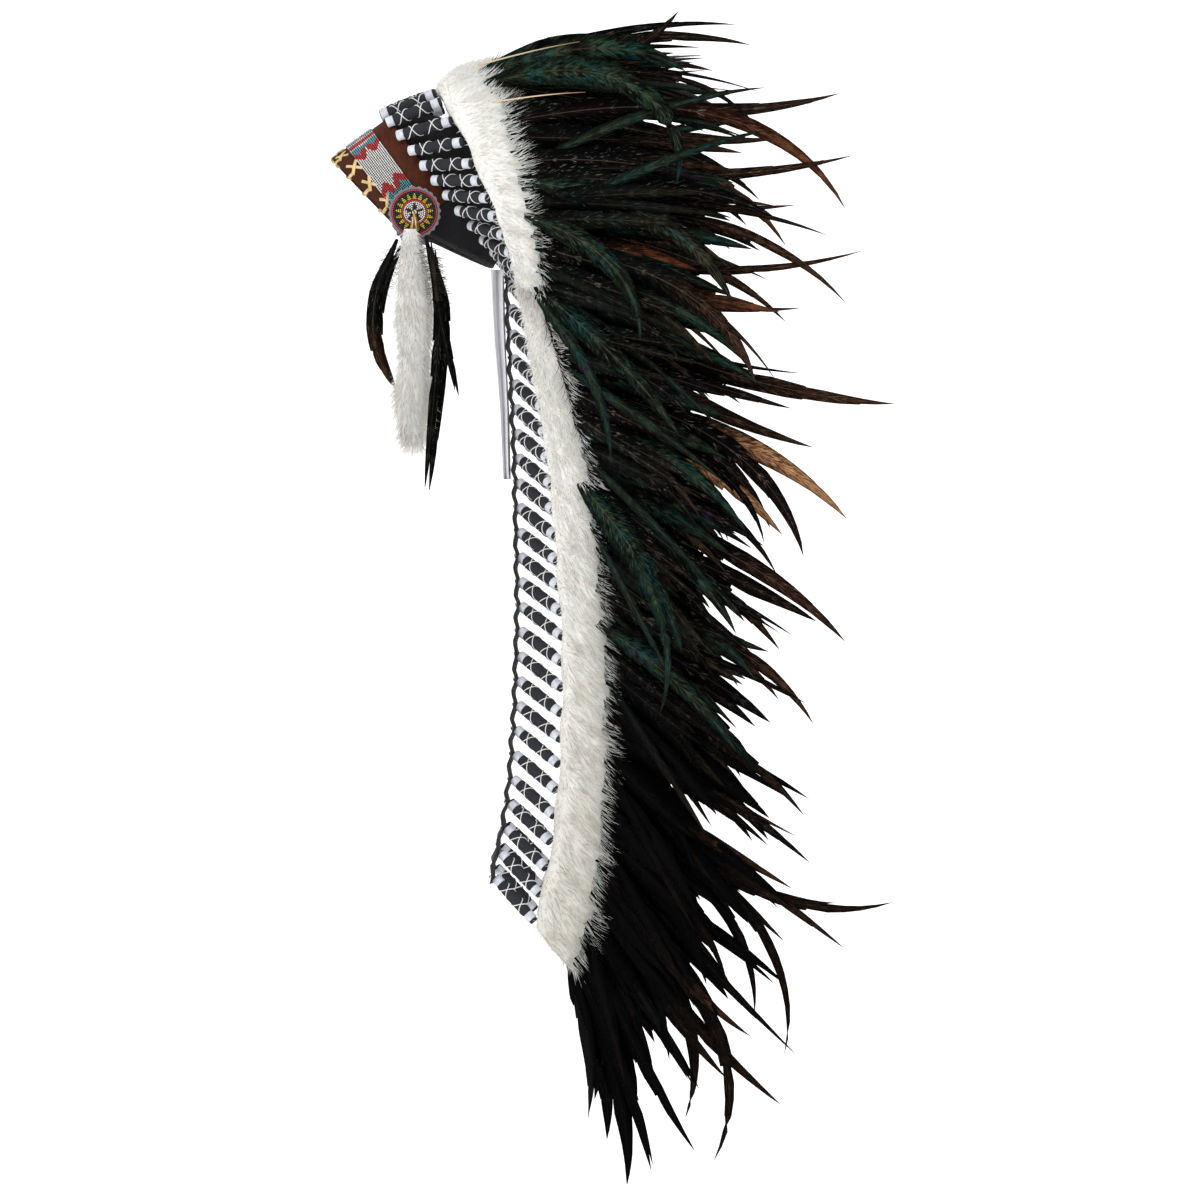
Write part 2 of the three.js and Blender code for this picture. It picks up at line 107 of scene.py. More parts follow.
# The leading feathers, whose ends stand free of the body: station, fall, curl, reach, width, splay, and
# how brown each is and how strong its painted green sheen is; brown above 1 is a tan feather
LEADING = [
    (0.6, -14, 27, 280, 16, 4, 0.3, 0.3), (1.2, -17, 22, 268, 9, 4, 0.0, 0.0),
    (1.6, 2, -54, 222, 20, 10, 0.2, 0.0), (2, -3, 22, 286, 6, 8, 0.0, 0.0),
    (2.4, -17, 50, 226, 30, 28, 0.0, 1.0), (3.2, -12, 118, 312, 30, 46, 0.0, 1.0),
    (3, 12, -28, 364, 17, 12, 0.45, 0.1), (3.6, -14, 66, 292, 10, 14, 0.1, 0.0),
    (4.7, -9, 71, 388, 19, 20, 1.0, 0.0), (5.2, 2, 8, 246, 18, 24, 0.4, 0.0),
    (5.8, 4, 4, 242, 18, 26, 0.5, 0.0), (6.6, 4, -18, 342, 13, 16, 0.5, 0.0),
    (7, 11, 57, 292, 28, 40, 0.3, 0.7), (7.5, 3, 4, 262, 15, 24, 0.5, 0.0),
    (8, 0, 22, 322, 9, 26, 0.2, 0.0), (8.3, 1, 48, 362, 15, 28, 0.7, 0.0),
    (8.7, 22, 72, 222, 20, 50, 0.0, 1.0), (9, 20, 38, 322, 8, 32, 0.6, 0.0),
    (9.5, 11, 6, 186, 22, 34, 1.0, 0.0), (10, 10, 64, 308, 24, 38, 0.6, 0.1),
    (10.5, 8, -24, 344, 11, 26, 0.5, 0.0), (11, 11, 0, 264, 24, 30, 1.0, 0.0),
    (12, 41, 16, 252, 22, 48, 0.0, 0.8), (12.5, 52, 38, 240, 13, 52, 0.0, 1.0),
    (13, 24, -21, 388, 22, 22, 0.6, 0.0), (13.3, 20, -15, 286, 8, 24, 0.0, 0.0),
    (14, 21, -6, 276, 16, 26, 0.1, 0.0), (15.8, 14, 64, 332, 24, 24, 0.1, 0.0),
    (16.3, 11, 37, 326, 24, 22, 1.8, 0.0), (17.2, 8, 72, 262, 14, 26, 0.0, 0.0),
    (17.7, 20, 42, 268, 16, 28, 0.1, 0.0), (19.5, 35, 16, 232, 22, 30, 0.0, 0.2),
    (19.5, 50, 25, 236, 28, 46, 0.0, 0.8), (20, 20, 28, 316, 20, 24, 0.5, 0.0),
    (20, 48, 62, 292, 14, 48, 0.0, 1.0), (20.9, 22, 8, 266, 24, 26, 0.1, 0.0),
    (23.7, 22, -4, 204, 18, 32, 0.1, 0.4), (24.2, 14, 46, 274, 17, 26, 0.6, 0.0),
    (25.1, 34, 24, 222, 20, 42, 0.0, 0.9), (27.4, 24, 28, 260, 16, 24, 0.3, 0.0),
    (28.8, 34, -8, 242, 9, 22, 0.6, 0.0), (29.2, 28, 14, 262, 14, 22, 0.1, 0.0),
    (30.6, 46, -62, 348, 17, 14, 0.3, 0.0), (31.1, 30, 0, 232, 14, 20, 1.0, 0.0),
    (31.5, 30, 9, 302, 14, 18, 0.6, 0.0), (32, 28, 76, 348, 14, 16, 0.2, 0.0),
    (32.9, 37, 38, 216, 13, 16, 0.1, 0.0), (33.4, 48, -4, 302, 10, 14, 0.1, 0.0),
    (33.8, 58, -25, 252, 16, 14, 0.9, 0.0), (34.8, 40, 78, 342, 18, 14, 0.3, 0.0),
    (35.2, 53, -15, 296, 16, 12, 0.4, 0.0), (36.2, 52, 13, 206, 12, 12, 0.0, 0.1),
    (36.6, 65, -8, 256, 16, 10, 0.0, 0.0), (37.4, 67, 10, 238, 14, 8, 0.0, 0.0),
    (37.6, 64, 14, 230, 12, 12, 0.0, 0.0), (38, 65, 30, 232, 22, 8, 0.0, 0.0),
    (38, 68, 6, 136, 4, 4, 0.0, 0.0),
]


# ---------------------------------------------------------------- camera, light and floor
def studio():
    scene = bpy.context.scene
    scene.view_settings.view_transform = "Standard"
    low = solid_box[0]
    view_height = 1.2
    lens = 240.0
    near_plane = 0.05  # at this distance out of the middle plane the view is 1.2 m high
    data = bpy.data.cameras.new("camera")
    data.lens = lens
    data.clip_end = 30
    camera = bpy.data.objects.new("camera", data)
    scene.collection.objects.link(camera)
    distance = view_height * lens / data.sensor_width
    camera.location = (near_plane + distance, 0.185, -0.387)
    camera.rotation_euler = (math.radians(90), 0, math.radians(90))
    scene.camera = camera

    world = bpy.data.worlds.new("studio")
    scene.world = world
    world.use_nodes = True
    world.node_tree.nodes["Background"].inputs["Color"].default_value = (1, 1, 1, 1)
    world.node_tree.nodes["Background"].inputs["Strength"].default_value = 0.75
    lamp("key", (2.6, -1.6, 1.9), (0, 0.1, -0.2), 2.0, 60)
    lamp("fill", (2.2, 2.4, 0.6), (0, 0.2, -0.4), 2.2, 26)
    lamp("back", (-2.4, 0.8, 1.6), (0, 0.2, -0.3), 2.0, 22)

    floor_height = low[2] - 0.16
    wall_x, run = -3.0, 7.0
    profile = [(run, floor_height), (wall_x + 1.4, floor_height)]
    for i in range(9):
        turn = math.radians(90 * (i + 1) / 9)
        profile.append((wall_x + 1.4 - 1.4 * math.sin(turn), floor_height + 1.4 * (1 - math.cos(turn))))
    profile.append((wall_x, floor_height + 5.0))
    verts = [(x, y, z) for x, z in profile for y in (-7.0, 7.0)]
    faces = [(2 * i, 2 * i + 2, 2 * i + 3, 2 * i + 1) for i in range(len(profile) - 1)]
    mesh = bpy.data.meshes.new("backdrop")
    mesh.from_pydata(verts, [], faces)
    backdrop = bpy.data.objects.new("backdrop", mesh)
    scene.collection.objects.link(backdrop)
    mesh.polygons.foreach_set("use_smooth", [True] * len(mesh.polygons))
    paper = bpy.data.materials.new("pale_paper")
    paper.use_nodes = True
    shader = paper.node_tree.nodes["Principled BSDF"]
    shader.inputs["Base Color"].default_value = (0.93, 0.93, 0.93, 1)
    shader.inputs["Roughness"].default_value = 1.0
    shader.inputs["Specular IOR Level"].default_value = 0.0
    shader.inputs["Emission Color"].default_value = (1, 1, 1, 1)
    shader.inputs["Emission Strength"].default_value = 0.25
    mesh.materials.append(paper)


def lamp(name, place, aim, size, power):
    data = bpy.data.lights.new(name, "AREA")
    data.shape = "SQUARE"
    data.size = size
    data.energy = power
    light = bpy.data.objects.new(name, data)
    bpy.context.scene.collection.objects.link(light)
    light.location = place
    light.rotation_euler = (Vector(aim) - Vector(place)).to_track_quat("-Z", "Y").to_euler()


# ---------------------------------------------------------------- shader maths
class Value:
    """A socket that takes part in Python expressions. Each operator adds one Math node."""

    def __init__(self, maker, socket):
        self.maker = maker
        self.socket = socket

    def _math(self, operation, *terms):
        return self.maker.node("ShaderNodeMath", dict(operation=operation), *terms)

    def __add__(self, other):
        return self._math("ADD", self, other)

    __radd__ = __add__

    def __sub__(self, other):
        return self._math("SUBTRACT", self, other)

    def __rsub__(self, other):
        return self._math("SUBTRACT", other, self)

    def __mul__(self, other):
        return self._math("MULTIPLY", self, other)

    __rmul__ = __mul__

    def sine(self):
        return self._math("SINE", self)

    def size(self):
        return self._math("ABSOLUTE", self)

    def clip(self):
        return self.maker.node("ShaderNodeMath", dict(operation="ADD", use_clamp=True), self, 0.0)

    def steps(self, low, high):
        """0 below low and 1 above high, smooth between."""
        settings = dict(interpolation_type="SMOOTHSTEP")
        return self.maker.node("ShaderNodeMapRange", settings, self, low, high, 0.0, 1.0)


class Wiring:
    """A node tree that is written out in code."""

    def __init__(self, tree):
        self.tree = tree

    def node(self, kind, settings=None, *values, out=0, **named):
        made = self.tree.nodes.new(kind)
        for key, value in (settings or {}).items():
            setattr(made, key, value)
        for key, value in list(enumerate(values)) + list(named.items()):
            self.feed(made.inputs[key], value)
        return Value(self, made.outputs[out])

    def feed(self, socket, value):
        if isinstance(value, Value):
            self.tree.links.new(value.socket, socket)
        elif isinstance(value, tuple) and len(value) == 3 and socket.type == "RGBA":
            socket.default_value = (*value, 1)
        elif value is not None:
            socket.default_value = value


class Finish(Wiring):
    """One material, built from named nodes."""

    def __init__(self, name, roughness=0.7, **constants):
        self.material = bpy.data.materials.new(name)
        self.material.use_nodes = True
        super().__init__(self.material.node_tree)
        self.shader = self.tree.nodes["Principled BSDF"]
        self.shader.inputs["Roughness"].default_value = roughness
        for socket, value in constants.items():
            self.shader.inputs[socket.replace("_", " ")].default_value = value

    def place(self):
        return self.node("ShaderNodeTexCoord", out="Object")

    def attribute(self, name, out="Fac"):
        return self.node("ShaderNodeAttribute", dict(attribute_name=name), out=out)

    def uv(self, name):
        """The two directions of a piece's own map, as two values."""
        vector = self.node("ShaderNodeUVMap", dict(uv_map=name))
        split = self.tree.nodes.new("ShaderNodeSeparateXYZ")
        self.tree.links.new(vector.socket, split.inputs[0])
        return Value(self, split.outputs[0]), Value(self, split.outputs[1])

    def noise(self, vector, scale, detail=3.0, roughness=0.55):
        return self.node("ShaderNodeTexNoise", None, Vector=vector, Scale=scale, Detail=detail,
                         Roughness=roughness)

    def stretch(self, vector, scale):
        return self.node("ShaderNodeVectorMath", dict(operation="MULTIPLY"), vector, scale)

    def mix(self, factor, first, second):
        made = self.tree.nodes.new("ShaderNodeMix")
        made.data_type = "RGBA"
        self.feed(made.inputs[0], factor)
        self.feed(made.inputs[6], first)
        self.feed(made.inputs[7], second)
        return Value(self, made.outputs[2])

    def set(self, **sockets):
        for name, value in sockets.items():
            self.feed(self.shader.inputs[name.replace("_", " ")], value)
        return self

    def bump(self, height, strength, distance):
        return self.set(Normal=self.node("ShaderNodeBump", None, Strength=strength, Distance=distance,
                                         Height=height))


# ---------------------------------------------------------------- finishes
def felt(name, dark, light, fibre=900.0):
    finish = Finish(name, roughness=0.95, Specular_IOR_Level=0.15)
    where = finish.place()
    fuzz = finish.noise(where, fibre, detail=4.0)
    cloud = finish.noise(where, 60.0)
    finish.set(Base_Color=finish.mix(fuzz * 0.6 + cloud * 0.4, dark, light))
    return finish.bump(fuzz, 0.5, 0.0006).material


def suede():
    """Red-brown suede: brushed nap, darker towards its lower edge."""
    finish = Finish("brown_suede", roughness=0.92, Specular_IOR_Level=0.2)
    where = finish.place()
    nap = finish.noise(where, 1100.0, detail=5.0)
    brushed = finish.noise(finish.stretch(where, (1, 2.2, 1)), 95.0, detail=4.0)
    # Darker towards the band's lower edge.
    toward_top = finish.attribute("height").steps(0.25, 0.75)
    base = finish.mix(brushed.steps(0.3, 0.7), (0.036, 0.009, 0.004), (0.072, 0.0165, 0.006))
    rich = finish.mix(toward_top, finish.mix(0.55, base, (0.03, 0.009, 0.007)), base)
    finish.set(Base_Color=finish.mix(nap * 0.3, rich, (0.12, 0.033, 0.014)))
    finish.set(Roughness=0.86 + nap * 0.1)
    return finish.bump(nap * 0.7 + brushed * 0.3, 0.55, 0.0007).material


def beads(name):
    """Opaque glass beads, coloured one by one, with a slight difference from bead to bead."""
    finish = Finish(name, roughness=0.22, Coat_Weight=0.4, Coat_Roughness=0.12)
    colour = finish.attribute("bead_colour", out="Color")
    shade = finish.attribute("bead_shade")
    finish.set(Base_Color=finish.mix(shade * 0.22, colour, (0.03, 0.03, 0.03)))
    finish.set(Roughness=0.18 + shade * 0.16)
    return finish.material


def lace():
    finish = Finish("tan_lace", roughness=0.75, Specular_IOR_Level=0.3)
    where = finish.place()
    grain = finish.noise(where, 700.0, detail=4.0)
    stain = finish.noise(where, 120.0)
    finish.set(Base_Color=finish.mix(stain.steps(0.35, 0.7), (0.69, 0.52, 0.25), (0.52, 0.36, 0.15)))
    return finish.bump(grain, 0.4, 0.0004).material


def tape():
    """White cotton tape: a fine plain weave."""
    finish = Finish("white_tape", roughness=0.85, Specular_IOR_Level=0.25)
    across, around = finish.uv("wrap")
    weave = (across * 2600.0).sine() * (around * 700.0).sine()
    soil = finish.noise(finish.place(), 240.0)
    finish.set(Base_Color=finish.mix(soil.steps(0.3, 0.75), (0.66, 0.68, 0.73), (0.47, 0.5, 0.56)))
    return finish.bump(weave * 0.5 + 0.5, 0.35, 0.0003).material


def thread(name, dark, light, roughness, twists):
    """Twisted thread; twists is how fine the twist is."""
    finish = Finish(name, roughness=roughness, Specular_IOR_Level=0.3)
    twist = finish.noise(finish.place(), twists)
    finish.set(Base_Color=finish.mix(twist, dark, light))
    return finish.bump(twist, 0.4, 0.0002).material


def webbing():
    """Black woven tape: ribs along its length and a picked edge."""
    finish = Finish("black_webbing", roughness=0.8, Specular_IOR_Level=0.3)
    across, down = finish.uv("weave")
    rib = (across * 1700.0).sine() * 0.6 + (down * 2300.0).sine() * 0.4
    dust = finish.noise(finish.place(), 300.0)
    finish.set(Base_Color=finish.mix(dust, (0.012, 0.012, 0.014), (0.03, 0.03, 0.033)))
    return finish.bump(rib * 0.5 + 0.5, 0.5, 0.0004).material


def satin():
    finish = Finish("grey_satin", roughness=0.4, Specular_IOR_Level=0.5, Sheen_Weight=0.3)
    across, down = finish.uv("weave")
    grain = (across * 5200.0).sine() * 0.5 + (down * 3000.0).sine() * 0.2
    flow = finish.noise(finish.stretch(finish.place(), (1, 1, 0.12)), 160.0)
    crease = finish.attribute("crease")
    silk = finish.mix(flow, (0.78, 0.77, 0.81), (0.92, 0.91, 0.95))
    # Darker in the creases of the folds: painted shade.
    finish.set(Base_Color=finish.mix(crease.steps(0.5, 1.0) * 0.5, silk, (0.07, 0.07, 0.08)))
    finish.set(Roughness=0.34 + flow * 0.16)
    return finish.bump(grain * 0.5 + 0.5, 0.25, 0.0002).material


def fur_finish(name, high, low):
    """White fur in soft clumps, creamier towards the foot; high and low are how light it is there."""
    # Emission in the fur's own colour makes it glow faintly: painted light.
    finish = Finish(name, roughness=1.0, Specular_IOR_Level=0.03, Subsurface_Weight=0.2,
                    Subsurface_Scale=0.005, Emission_Strength=0.045)
    where = finish.place()
    clump = finish.noise(where, 42.0, detail=4.0)
    split = finish.tree.nodes.new("ShaderNodeSeparateXYZ")
    finish.feed(split.inputs[0], where)
    rise = Value(finish, split.outputs[2]).steps(-0.72, -0.2)
    light = finish.mix(rise, tuple(low * part for part in (1.0, 0.965, 0.895)),
                       tuple(high * part for part in (1.0, 0.982, 0.94)))
    shade = finish.mix(rise, tuple(low * part for part in (0.84, 0.8, 0.725)),
                       tuple(high * part for part in (0.87, 0.845, 0.79)))
    # Noise clumps of the shade tone: painted shade in the fur.
    clumped_shade = finish.mix(clump.steps(0.3, 0.68), light, shade)
    hair = finish.mix(finish.attribute("tip").clip() * 0.5, clumped_shade, light)
    finish.set(Base_Color=hair, Emission_Color=hair)
    fine = finish.noise(where, 900.0)
    return finish.bump(fine, 0.15, 0.0004).material


def down_finish():
    finish = Finish("dark_down", roughness=0.9, Specular_IOR_Level=0.15)
    clump = finish.noise(finish.place(), 45.0)
    black, brown = (0.006, 0.006, 0.0065), (0.032, 0.02, 0.013)
    finish.set(Base_Color=finish.mix(clump.steps(0.35, 0.7), black, brown))
    return finish.material


def vane_finish():
    """Tail feathers. Barbs run slantwise from the shaft, and the sheen differs from feather to feather.

    The map "vane" runs -1 to 1 across and in metres along. The attribute "cast" holds how brown each
    feather is, how strong its painted green and purple sheen is, and, fourth, how bright its painted
    highlights are.
    """
    finish = Finish("dark_feather", roughness=0.4, Specular_IOR_Level=0.025)
    across, along = finish.uv("vane")
    brown = finish.node("ShaderNodeSeparateColor", None, finish.attribute("cast", out="Color"))
    split = brown.socket.node
    green_sheen = Value(finish, split.outputs[1])
    purple_sheen = Value(finish, split.outputs[2])
    light = finish.attribute("cast", out="Alpha")
    tip = finish.attribute("tip")
    side = across.size()
    slant = along - side * 0.024
    barb = (slant * 1200.0).sine()

    def strands(along_scale, across_scale, scale):
        at = finish.node("ShaderNodeCombineXYZ", None, slant * along_scale, side * across_scale, light * 37.0)
        return finish.noise(at, scale)

    coarse = strands(42.0, 1.2, 3.0)
    fine = strands(110.0, 1.0, 3.0)
    broad = strands(10.0, 0.6, 2.2)

    # Pale streaks along the barbs: partly the barbs' own colour, partly painted highlights; light, the cast's
    # fourth part, sets how bright they are.
    barb_lines_and_highlights = fine.steps(0.54, 0.68) * (0.04 + coarse.steps(0.48, 0.68) * 0.96) * light
    dark = finish.mix(barb_lines_and_highlights, (0.0006, 0.0006, 0.0007), (0.17, 0.15, 0.13))
    rust = finish.mix(fine.steps(0.35, 0.68), (0.008, 0.004, 0.0025), (0.15, 0.068, 0.036))
    rust = finish.mix(brown.steps(0.8, 1.1) * 0.5, rust, (0.19, 0.05, 0.018))
    tan = finish.mix(fine.steps(0.35, 0.65), (0.12, 0.05, 0.02), (0.5, 0.26, 0.125))
    rust = finish.mix(brown.steps(1.2, 1.6), rust, tan)
    toward_tip = brown * (0.03 + tip.steps(0.42, 0.9)) * (0.15 + coarse.steps(0.36, 0.62) * 0.95)
    base = finish.mix(toward_tip.clip(), dark, rust)
    streak = coarse.steps(0.32, 0.6) * (0.28 + fine.steps(0.38, 0.66) * 0.72)
    # A green-teal gleam and a violet tinge laid into the colour: painted iridescent sheen.
    gleam = (green_sheen * broad.steps(0.3, 0.56) * streak * (1.25 - side * 0.6)).clip()
    teal_sheen = finish.mix(broad.steps(0.48, 0.62), (0.032, 0.058, 0.03), (0.01, 0.05, 0.046))
    lit = finish.mix(gleam, base, teal_sheen)
    violet_sheen = (purple_sheen * finish.noise(finish.place(), 26.0).steps(0.58, 0.7) * streak).clip()
    sheen = finish.mix(violet_sheen * 0.8, lit, (0.05, 0.016, 0.062))
    shaft = 1.0 - side.steps(0.02, 0.07)
    # The shaft's pale line, dimmed with the painted-highlight strength in light.
    pale = (shaft * light * (0.3 + brown * 0.3)).clip()
    finish.set(Base_Color=finish.mix(pale, sheen, (0.13, 0.085, 0.06)))
    finish.set(Roughness=0.32 + coarse * 0.3)
    return finish.bump(barb * 0.3 + coarse * 0.7 + shaft * 1.2, 0.6, 0.0006).material


def quill_finish():
    finish = Finish("bare_quill", roughness=0.35, Specular_IOR_Level=0.5, Coat_Weight=0.2)
    length = finish.attribute("tip")
    streak = finish.noise(finish.stretch(finish.place(), (9, 1, 9)), 60.0)
    ivory = finish.mix(streak, (0.72, 0.6, 0.42), (0.5, 0.34, 0.17))
    finish.set(Base_Color=finish.mix(length.steps(0.5, 1.0), ivory, (0.28, 0.13, 0.045)))
    return finish.material


# ---------------------------------------------------------------- shape tools
def scatter(i, k=0):
    """An even spread from -0.5 to 0.5 that is the same at every run."""
    return (i * 0.618034 + k * 0.754878 + 7.3) % 1 - 0.5


def read(rows, at, column):
    """A value from rows of at and columns, straight between them."""
    return float(np.interp(at, [row["at"] for row in rows], [row[column] for row in rows]))


def full_turn(count):
    """Angles of a full turn in equal steps."""
    return [i / count * 2 * math.pi for i in range(count)]


def unit(vector):
    vector = np.asarray(vector, float)
    return vector / np.maximum(np.linalg.norm(vector, axis=-1, keepdims=True), 1e-9)


def raised(points):
    """From the head's own frame to the raised brow."""
    points = np.asarray(points, float)
    c, s = math.cos(HEAD_TILT), math.sin(HEAD_TILT)
    x, y, z = points[..., 0], points[..., 1], points[..., 2]
    return np.stack([x, y * c + z * s, -y * s + z * c], -1)


def outline(angle, length, width):
    """The head opening: a rounded square at the brow and an oval at the nape, from the brow round."""
    s, c = math.sin(angle), math.cos(angle)
    power = 2 / (3.2 if c > 0 else 2.1)
    across, back = math.copysign(abs(s) ** power, s), -math.copysign(abs(c) ** power, c)
    return np.array([width * across, length * back, 0.0])


def outward(angle, length, width):
    run = outline(angle + 0.02, length, width) - outline(angle - 0.02, length, width)
    side = unit([run[1], -run[0], 0.0])
    return side if side @ outline(angle, length, width) > 0 else -side


def drawn(height):
    share = min(1.0, max(0.0, (height - CAP["fullest"]) / (CAP["top"] - CAP["fullest"])))
    return (1 - share**2.6) ** (1 / 2.6)


def cap_point(angle, height, grow=0.0):
    def at(a, h):
        point = outline(a, CAP["length"], CAP["width"]) * drawn(h)
        point[2] = h
        return point

    along = at(angle + 0.02, height) - at(angle - 0.02, height)
    upward = at(angle, min(height + 1, CAP["top"])) - at(angle, height - 1)
    return at(angle, height) + unit(np.cross(along, upward)) * grow


def band_point(angle, height, grow=0.0):
    side = outward(angle, BAND["length"], BAND["width"])
    point = outline(angle, BAND["length"], BAND["width"])
    point = point + side * (grow - BAND["lean"] * (height - BAND["low"]))
    point[2] = height
    return point


def angle_at(back):
    low, high = 0.0, math.pi
    for _ in range(40):
        middle = (low + high) / 2
        if outline(middle, BAND["length"], BAND["width"])[1] < back:
            low = middle
        else:
            high = middle
    return low


def even_angles(count, pitch, length, width):
    """Angles at equal steps along an outline, from the brow."""
    fine = np.linspace(0, math.pi, 6284)
    points = np.array([outline(a, length, width) for a in fine])
    walked = np.concatenate([[0], np.cumsum(np.linalg.norm(np.diff(points, axis=0), axis=1))])
    return [float(np.interp(i * pitch, walked, fine)) for i in range(count + 1)]


def edge(start, fall, back):
    """Height of a line on the band that falls towards the back."""
    return start - fall * (back + BAND["length"])


def direction(splay, droop, sign):
    a, b = math.radians(splay), math.radians(droop)
    return np.array([sign * math.sin(a), math.cos(a) * math.cos(b), -math.cos(a) * math.sin(b)])


CROWN_ANGLES = even_angles(CROWN_QUILLS, CROWN_PITCH, CAP["length"], CAP["width"])


def quill(station, sign):
    """Base and direction of the wrapped quill at a whole station."""
    if station <= CROWN_QUILLS:
        base = cap_point(CROWN_ANGLES[station], read(CROWN, station, "up"), QUILL["radius"] + QUILL["clear"])
        way = np.array([read(CROWN, station, key) for key in ("out", "back", "rise")])
        turn = np.array([sign, 1, 1])
        return raised(base * turn), unit(raised(way * turn))
    height = -70 - (station - CROWN_QUILLS - 1) * TRAILER_PITCH
    if sign < 0:
        height += read(TRAILER, station, "higher")
    base = np.array([sign * QUILL_X, read(TRAILER, station, "back"), height])
    return base, direction(read(TRAILER, station, "splay"), read(TRAILER, station, "droop"), sign)


def beyond(station, sign, distance):
    """A point at a distance along the quills, at any station, and the way that they point there."""
    low = min(LAST, int(station))
    high = min(LAST, low + 1)
    share = station - low
    (base_a, way_a), (base_b, way_b) = quill(low, sign), quill(high, sign)
    way = unit(way_a * (1 - share) + way_b * share)
    return base_a * (1 - share) + base_b * share + way * distance, way


def along(station, sign, distance):
    """The direction in which the row of quills runs."""
    low, high = max(0, station - 1), min(LAST, station + 1)
    run = beyond(high, sign, distance)[0] - beyond(low, sign, distance)[0]
    if station < 0.5:
        run[0] = sign * (abs(run[0]) + 4)
    return unit(run)


def root_line(station):
    """How far along the quills the feathers come out of the ruff."""
    return FUR_START + max(55.0, read(RUFF, station, "width") - 3)


class Stock:
    """Parts of one piece: points in millimetres, faces, and what is written on the points."""

    def __init__(self):
        self.points, self.quads, self.tris, self.notes, self.marks = [], [], [], [], []
        self.count = 0

    def add(self, points, quads=None, tris=None, mark=0, **notes):
        points = np.asarray(points, float)
        quads = np.zeros((0, 4), int) if quads is None else np.asarray(quads, int).reshape(-1, 4)
        tris = np.zeros((0, 3), int) if tris is None else np.asarray(tris, int).reshape(-1, 3)
        if self._volume(points, quads, tris) < 0:
            quads, tris = quads[:, ::-1], tris[:, ::-1]
        self.points.append(points)
        self.quads.append(quads + self.count)
        self.tris.append(tris + self.count)
        self.marks.append((mark, len(quads), len(tris)))
        self.notes.append({key: np.asarray(value, float) for key, value in notes.items()})
        self.count += len(points)

    @staticmethod
    def _volume(points, quads, tris):
        faces = np.concatenate([quads[:, :3], quads[:, [0, 2, 3]], tris])
        a, b, c = (points[faces[:, i]] for i in range(3))
        return float(np.einsum("ij,ij->i", a, np.cross(b, c)).sum())

    def build(self, name, materials):
        points = np.concatenate(self.points) * MM
        quads, tris = np.concatenate(self.quads), np.concatenate(self.tris)
        mesh = bpy.data.meshes.new(name)
        mesh.vertices.add(len(points))
        mesh.vertices.foreach_set("co", points.ravel().astype(np.float32))
        corners = np.concatenate([quads.ravel(), tris.ravel()])
        mesh.loops.add(len(corners))
        mesh.loops.foreach_set("vertex_index", corners.astype(np.int32))
        starts = np.concatenate([np.arange(len(quads)) * 4, len(quads) * 4 + np.arange(len(tris)) * 3])
        mesh.polygons.add(len(starts))
        mesh.polygons.foreach_set("loop_start", starts.astype(np.int32))
        quad_marks = np.concatenate([np.full(q, mark) for mark, q, _ in self.marks])
        tri_marks = np.concatenate([np.full(t, mark) for mark, _, t in self.marks])
        marks = np.concatenate([quad_marks, tri_marks])
        mesh.polygons.foreach_set("material_index", marks.astype(np.int32))
        for key in sorted({key for notes in self.notes for key in notes}):
            held = [notes[key] for notes in self.notes if key in notes]
            width = max(value.shape[-1] if value.ndim > 1 else 1 for value in held)
            rows = [self._note(notes, key, len(part), width) for notes, part in zip(self.notes, self.points)]
            self._write(mesh, key, np.concatenate(rows), corners)
        mesh.update()
        mesh.validate()
        mesh.polygons.foreach_set("use_smooth", [True] * len(mesh.polygons))
        for material in materials:
            mesh.materials.append(material)
        piece = bpy.data.objects.new(name, mesh)
        bpy.context.scene.collection.objects.link(piece)
        return piece

    @staticmethod
    def _note(notes, key, count, width):
        if key not in notes:
            return np.zeros((count, width))
        value = notes[key]
        if value.ndim == 1 and width > 1:
            return np.tile(value, (count, 1))
        return value.reshape(count, -1) if value.size == count * width else np.full((count, width), value)

    @staticmethod
    def _write(mesh, key, rows, corners):
        """Two columns make a map of the surface. One, three or four are a number, a vector or a colour."""
        if rows.shape[1] == 2:
            layer, field, rows = mesh.uv_layers.new(name=key), "uv", rows[corners]
        else:
            kind, field = {1: ("FLOAT", "value"), 3: ("FLOAT_VECTOR", "vector"),
                           4: ("FLOAT_COLOR", "color")}[rows.shape[1]]
            layer = mesh.attributes.new(key, kind, "POINT")
        layer.data.foreach_set(field, rows.ravel().astype(np.float32))


def ring_quads(rows, columns):
    """Faces between rings of points, each ring closed on itself."""
    i, j = np.meshgrid(np.arange(rows - 1), np.arange(columns), indexing="ij")
    k = (j + 1) % columns
    low, high = i * columns, (i + 1) * columns
    return np.stack([low + j, low + k, high + k, high + j], -1).reshape(-1, 4)


def loft(stock, rings, mark=0, **notes):
    """A closed form through rings of points, with a middle point at each end."""
    rings = np.asarray(rings, float)
    rows, columns = rings.shape[:2]
    ends = np.stack([rings[0].mean(0), rings[-1].mean(0)])
    points = np.concatenate([rings.reshape(-1, 3), ends])
    j = np.arange(columns)
    k = (j + 1) % columns
    first, last = rows * columns, rows * columns + 1
    start = np.stack([k, j, np.full(columns, first)], -1)
    close = np.stack([(rows - 1) * columns + j, (rows - 1) * columns + k, np.full(columns, last)], -1)
    extended = {}
    for key, value in notes.items():
        value = np.asarray(value, float)
        if value.ndim >= 2 and value.shape[:2] == (rows, columns):
            flat = value.reshape(rows * columns, -1)
            middles = [value[end].mean(0).reshape(1, -1) for end in (0, -1)]
            extended[key] = np.concatenate([flat, *middles])
        else:
            extended[key] = value
    stock.add(points, ring_quads(rows, columns), np.concatenate([start, close]), mark, **extended)


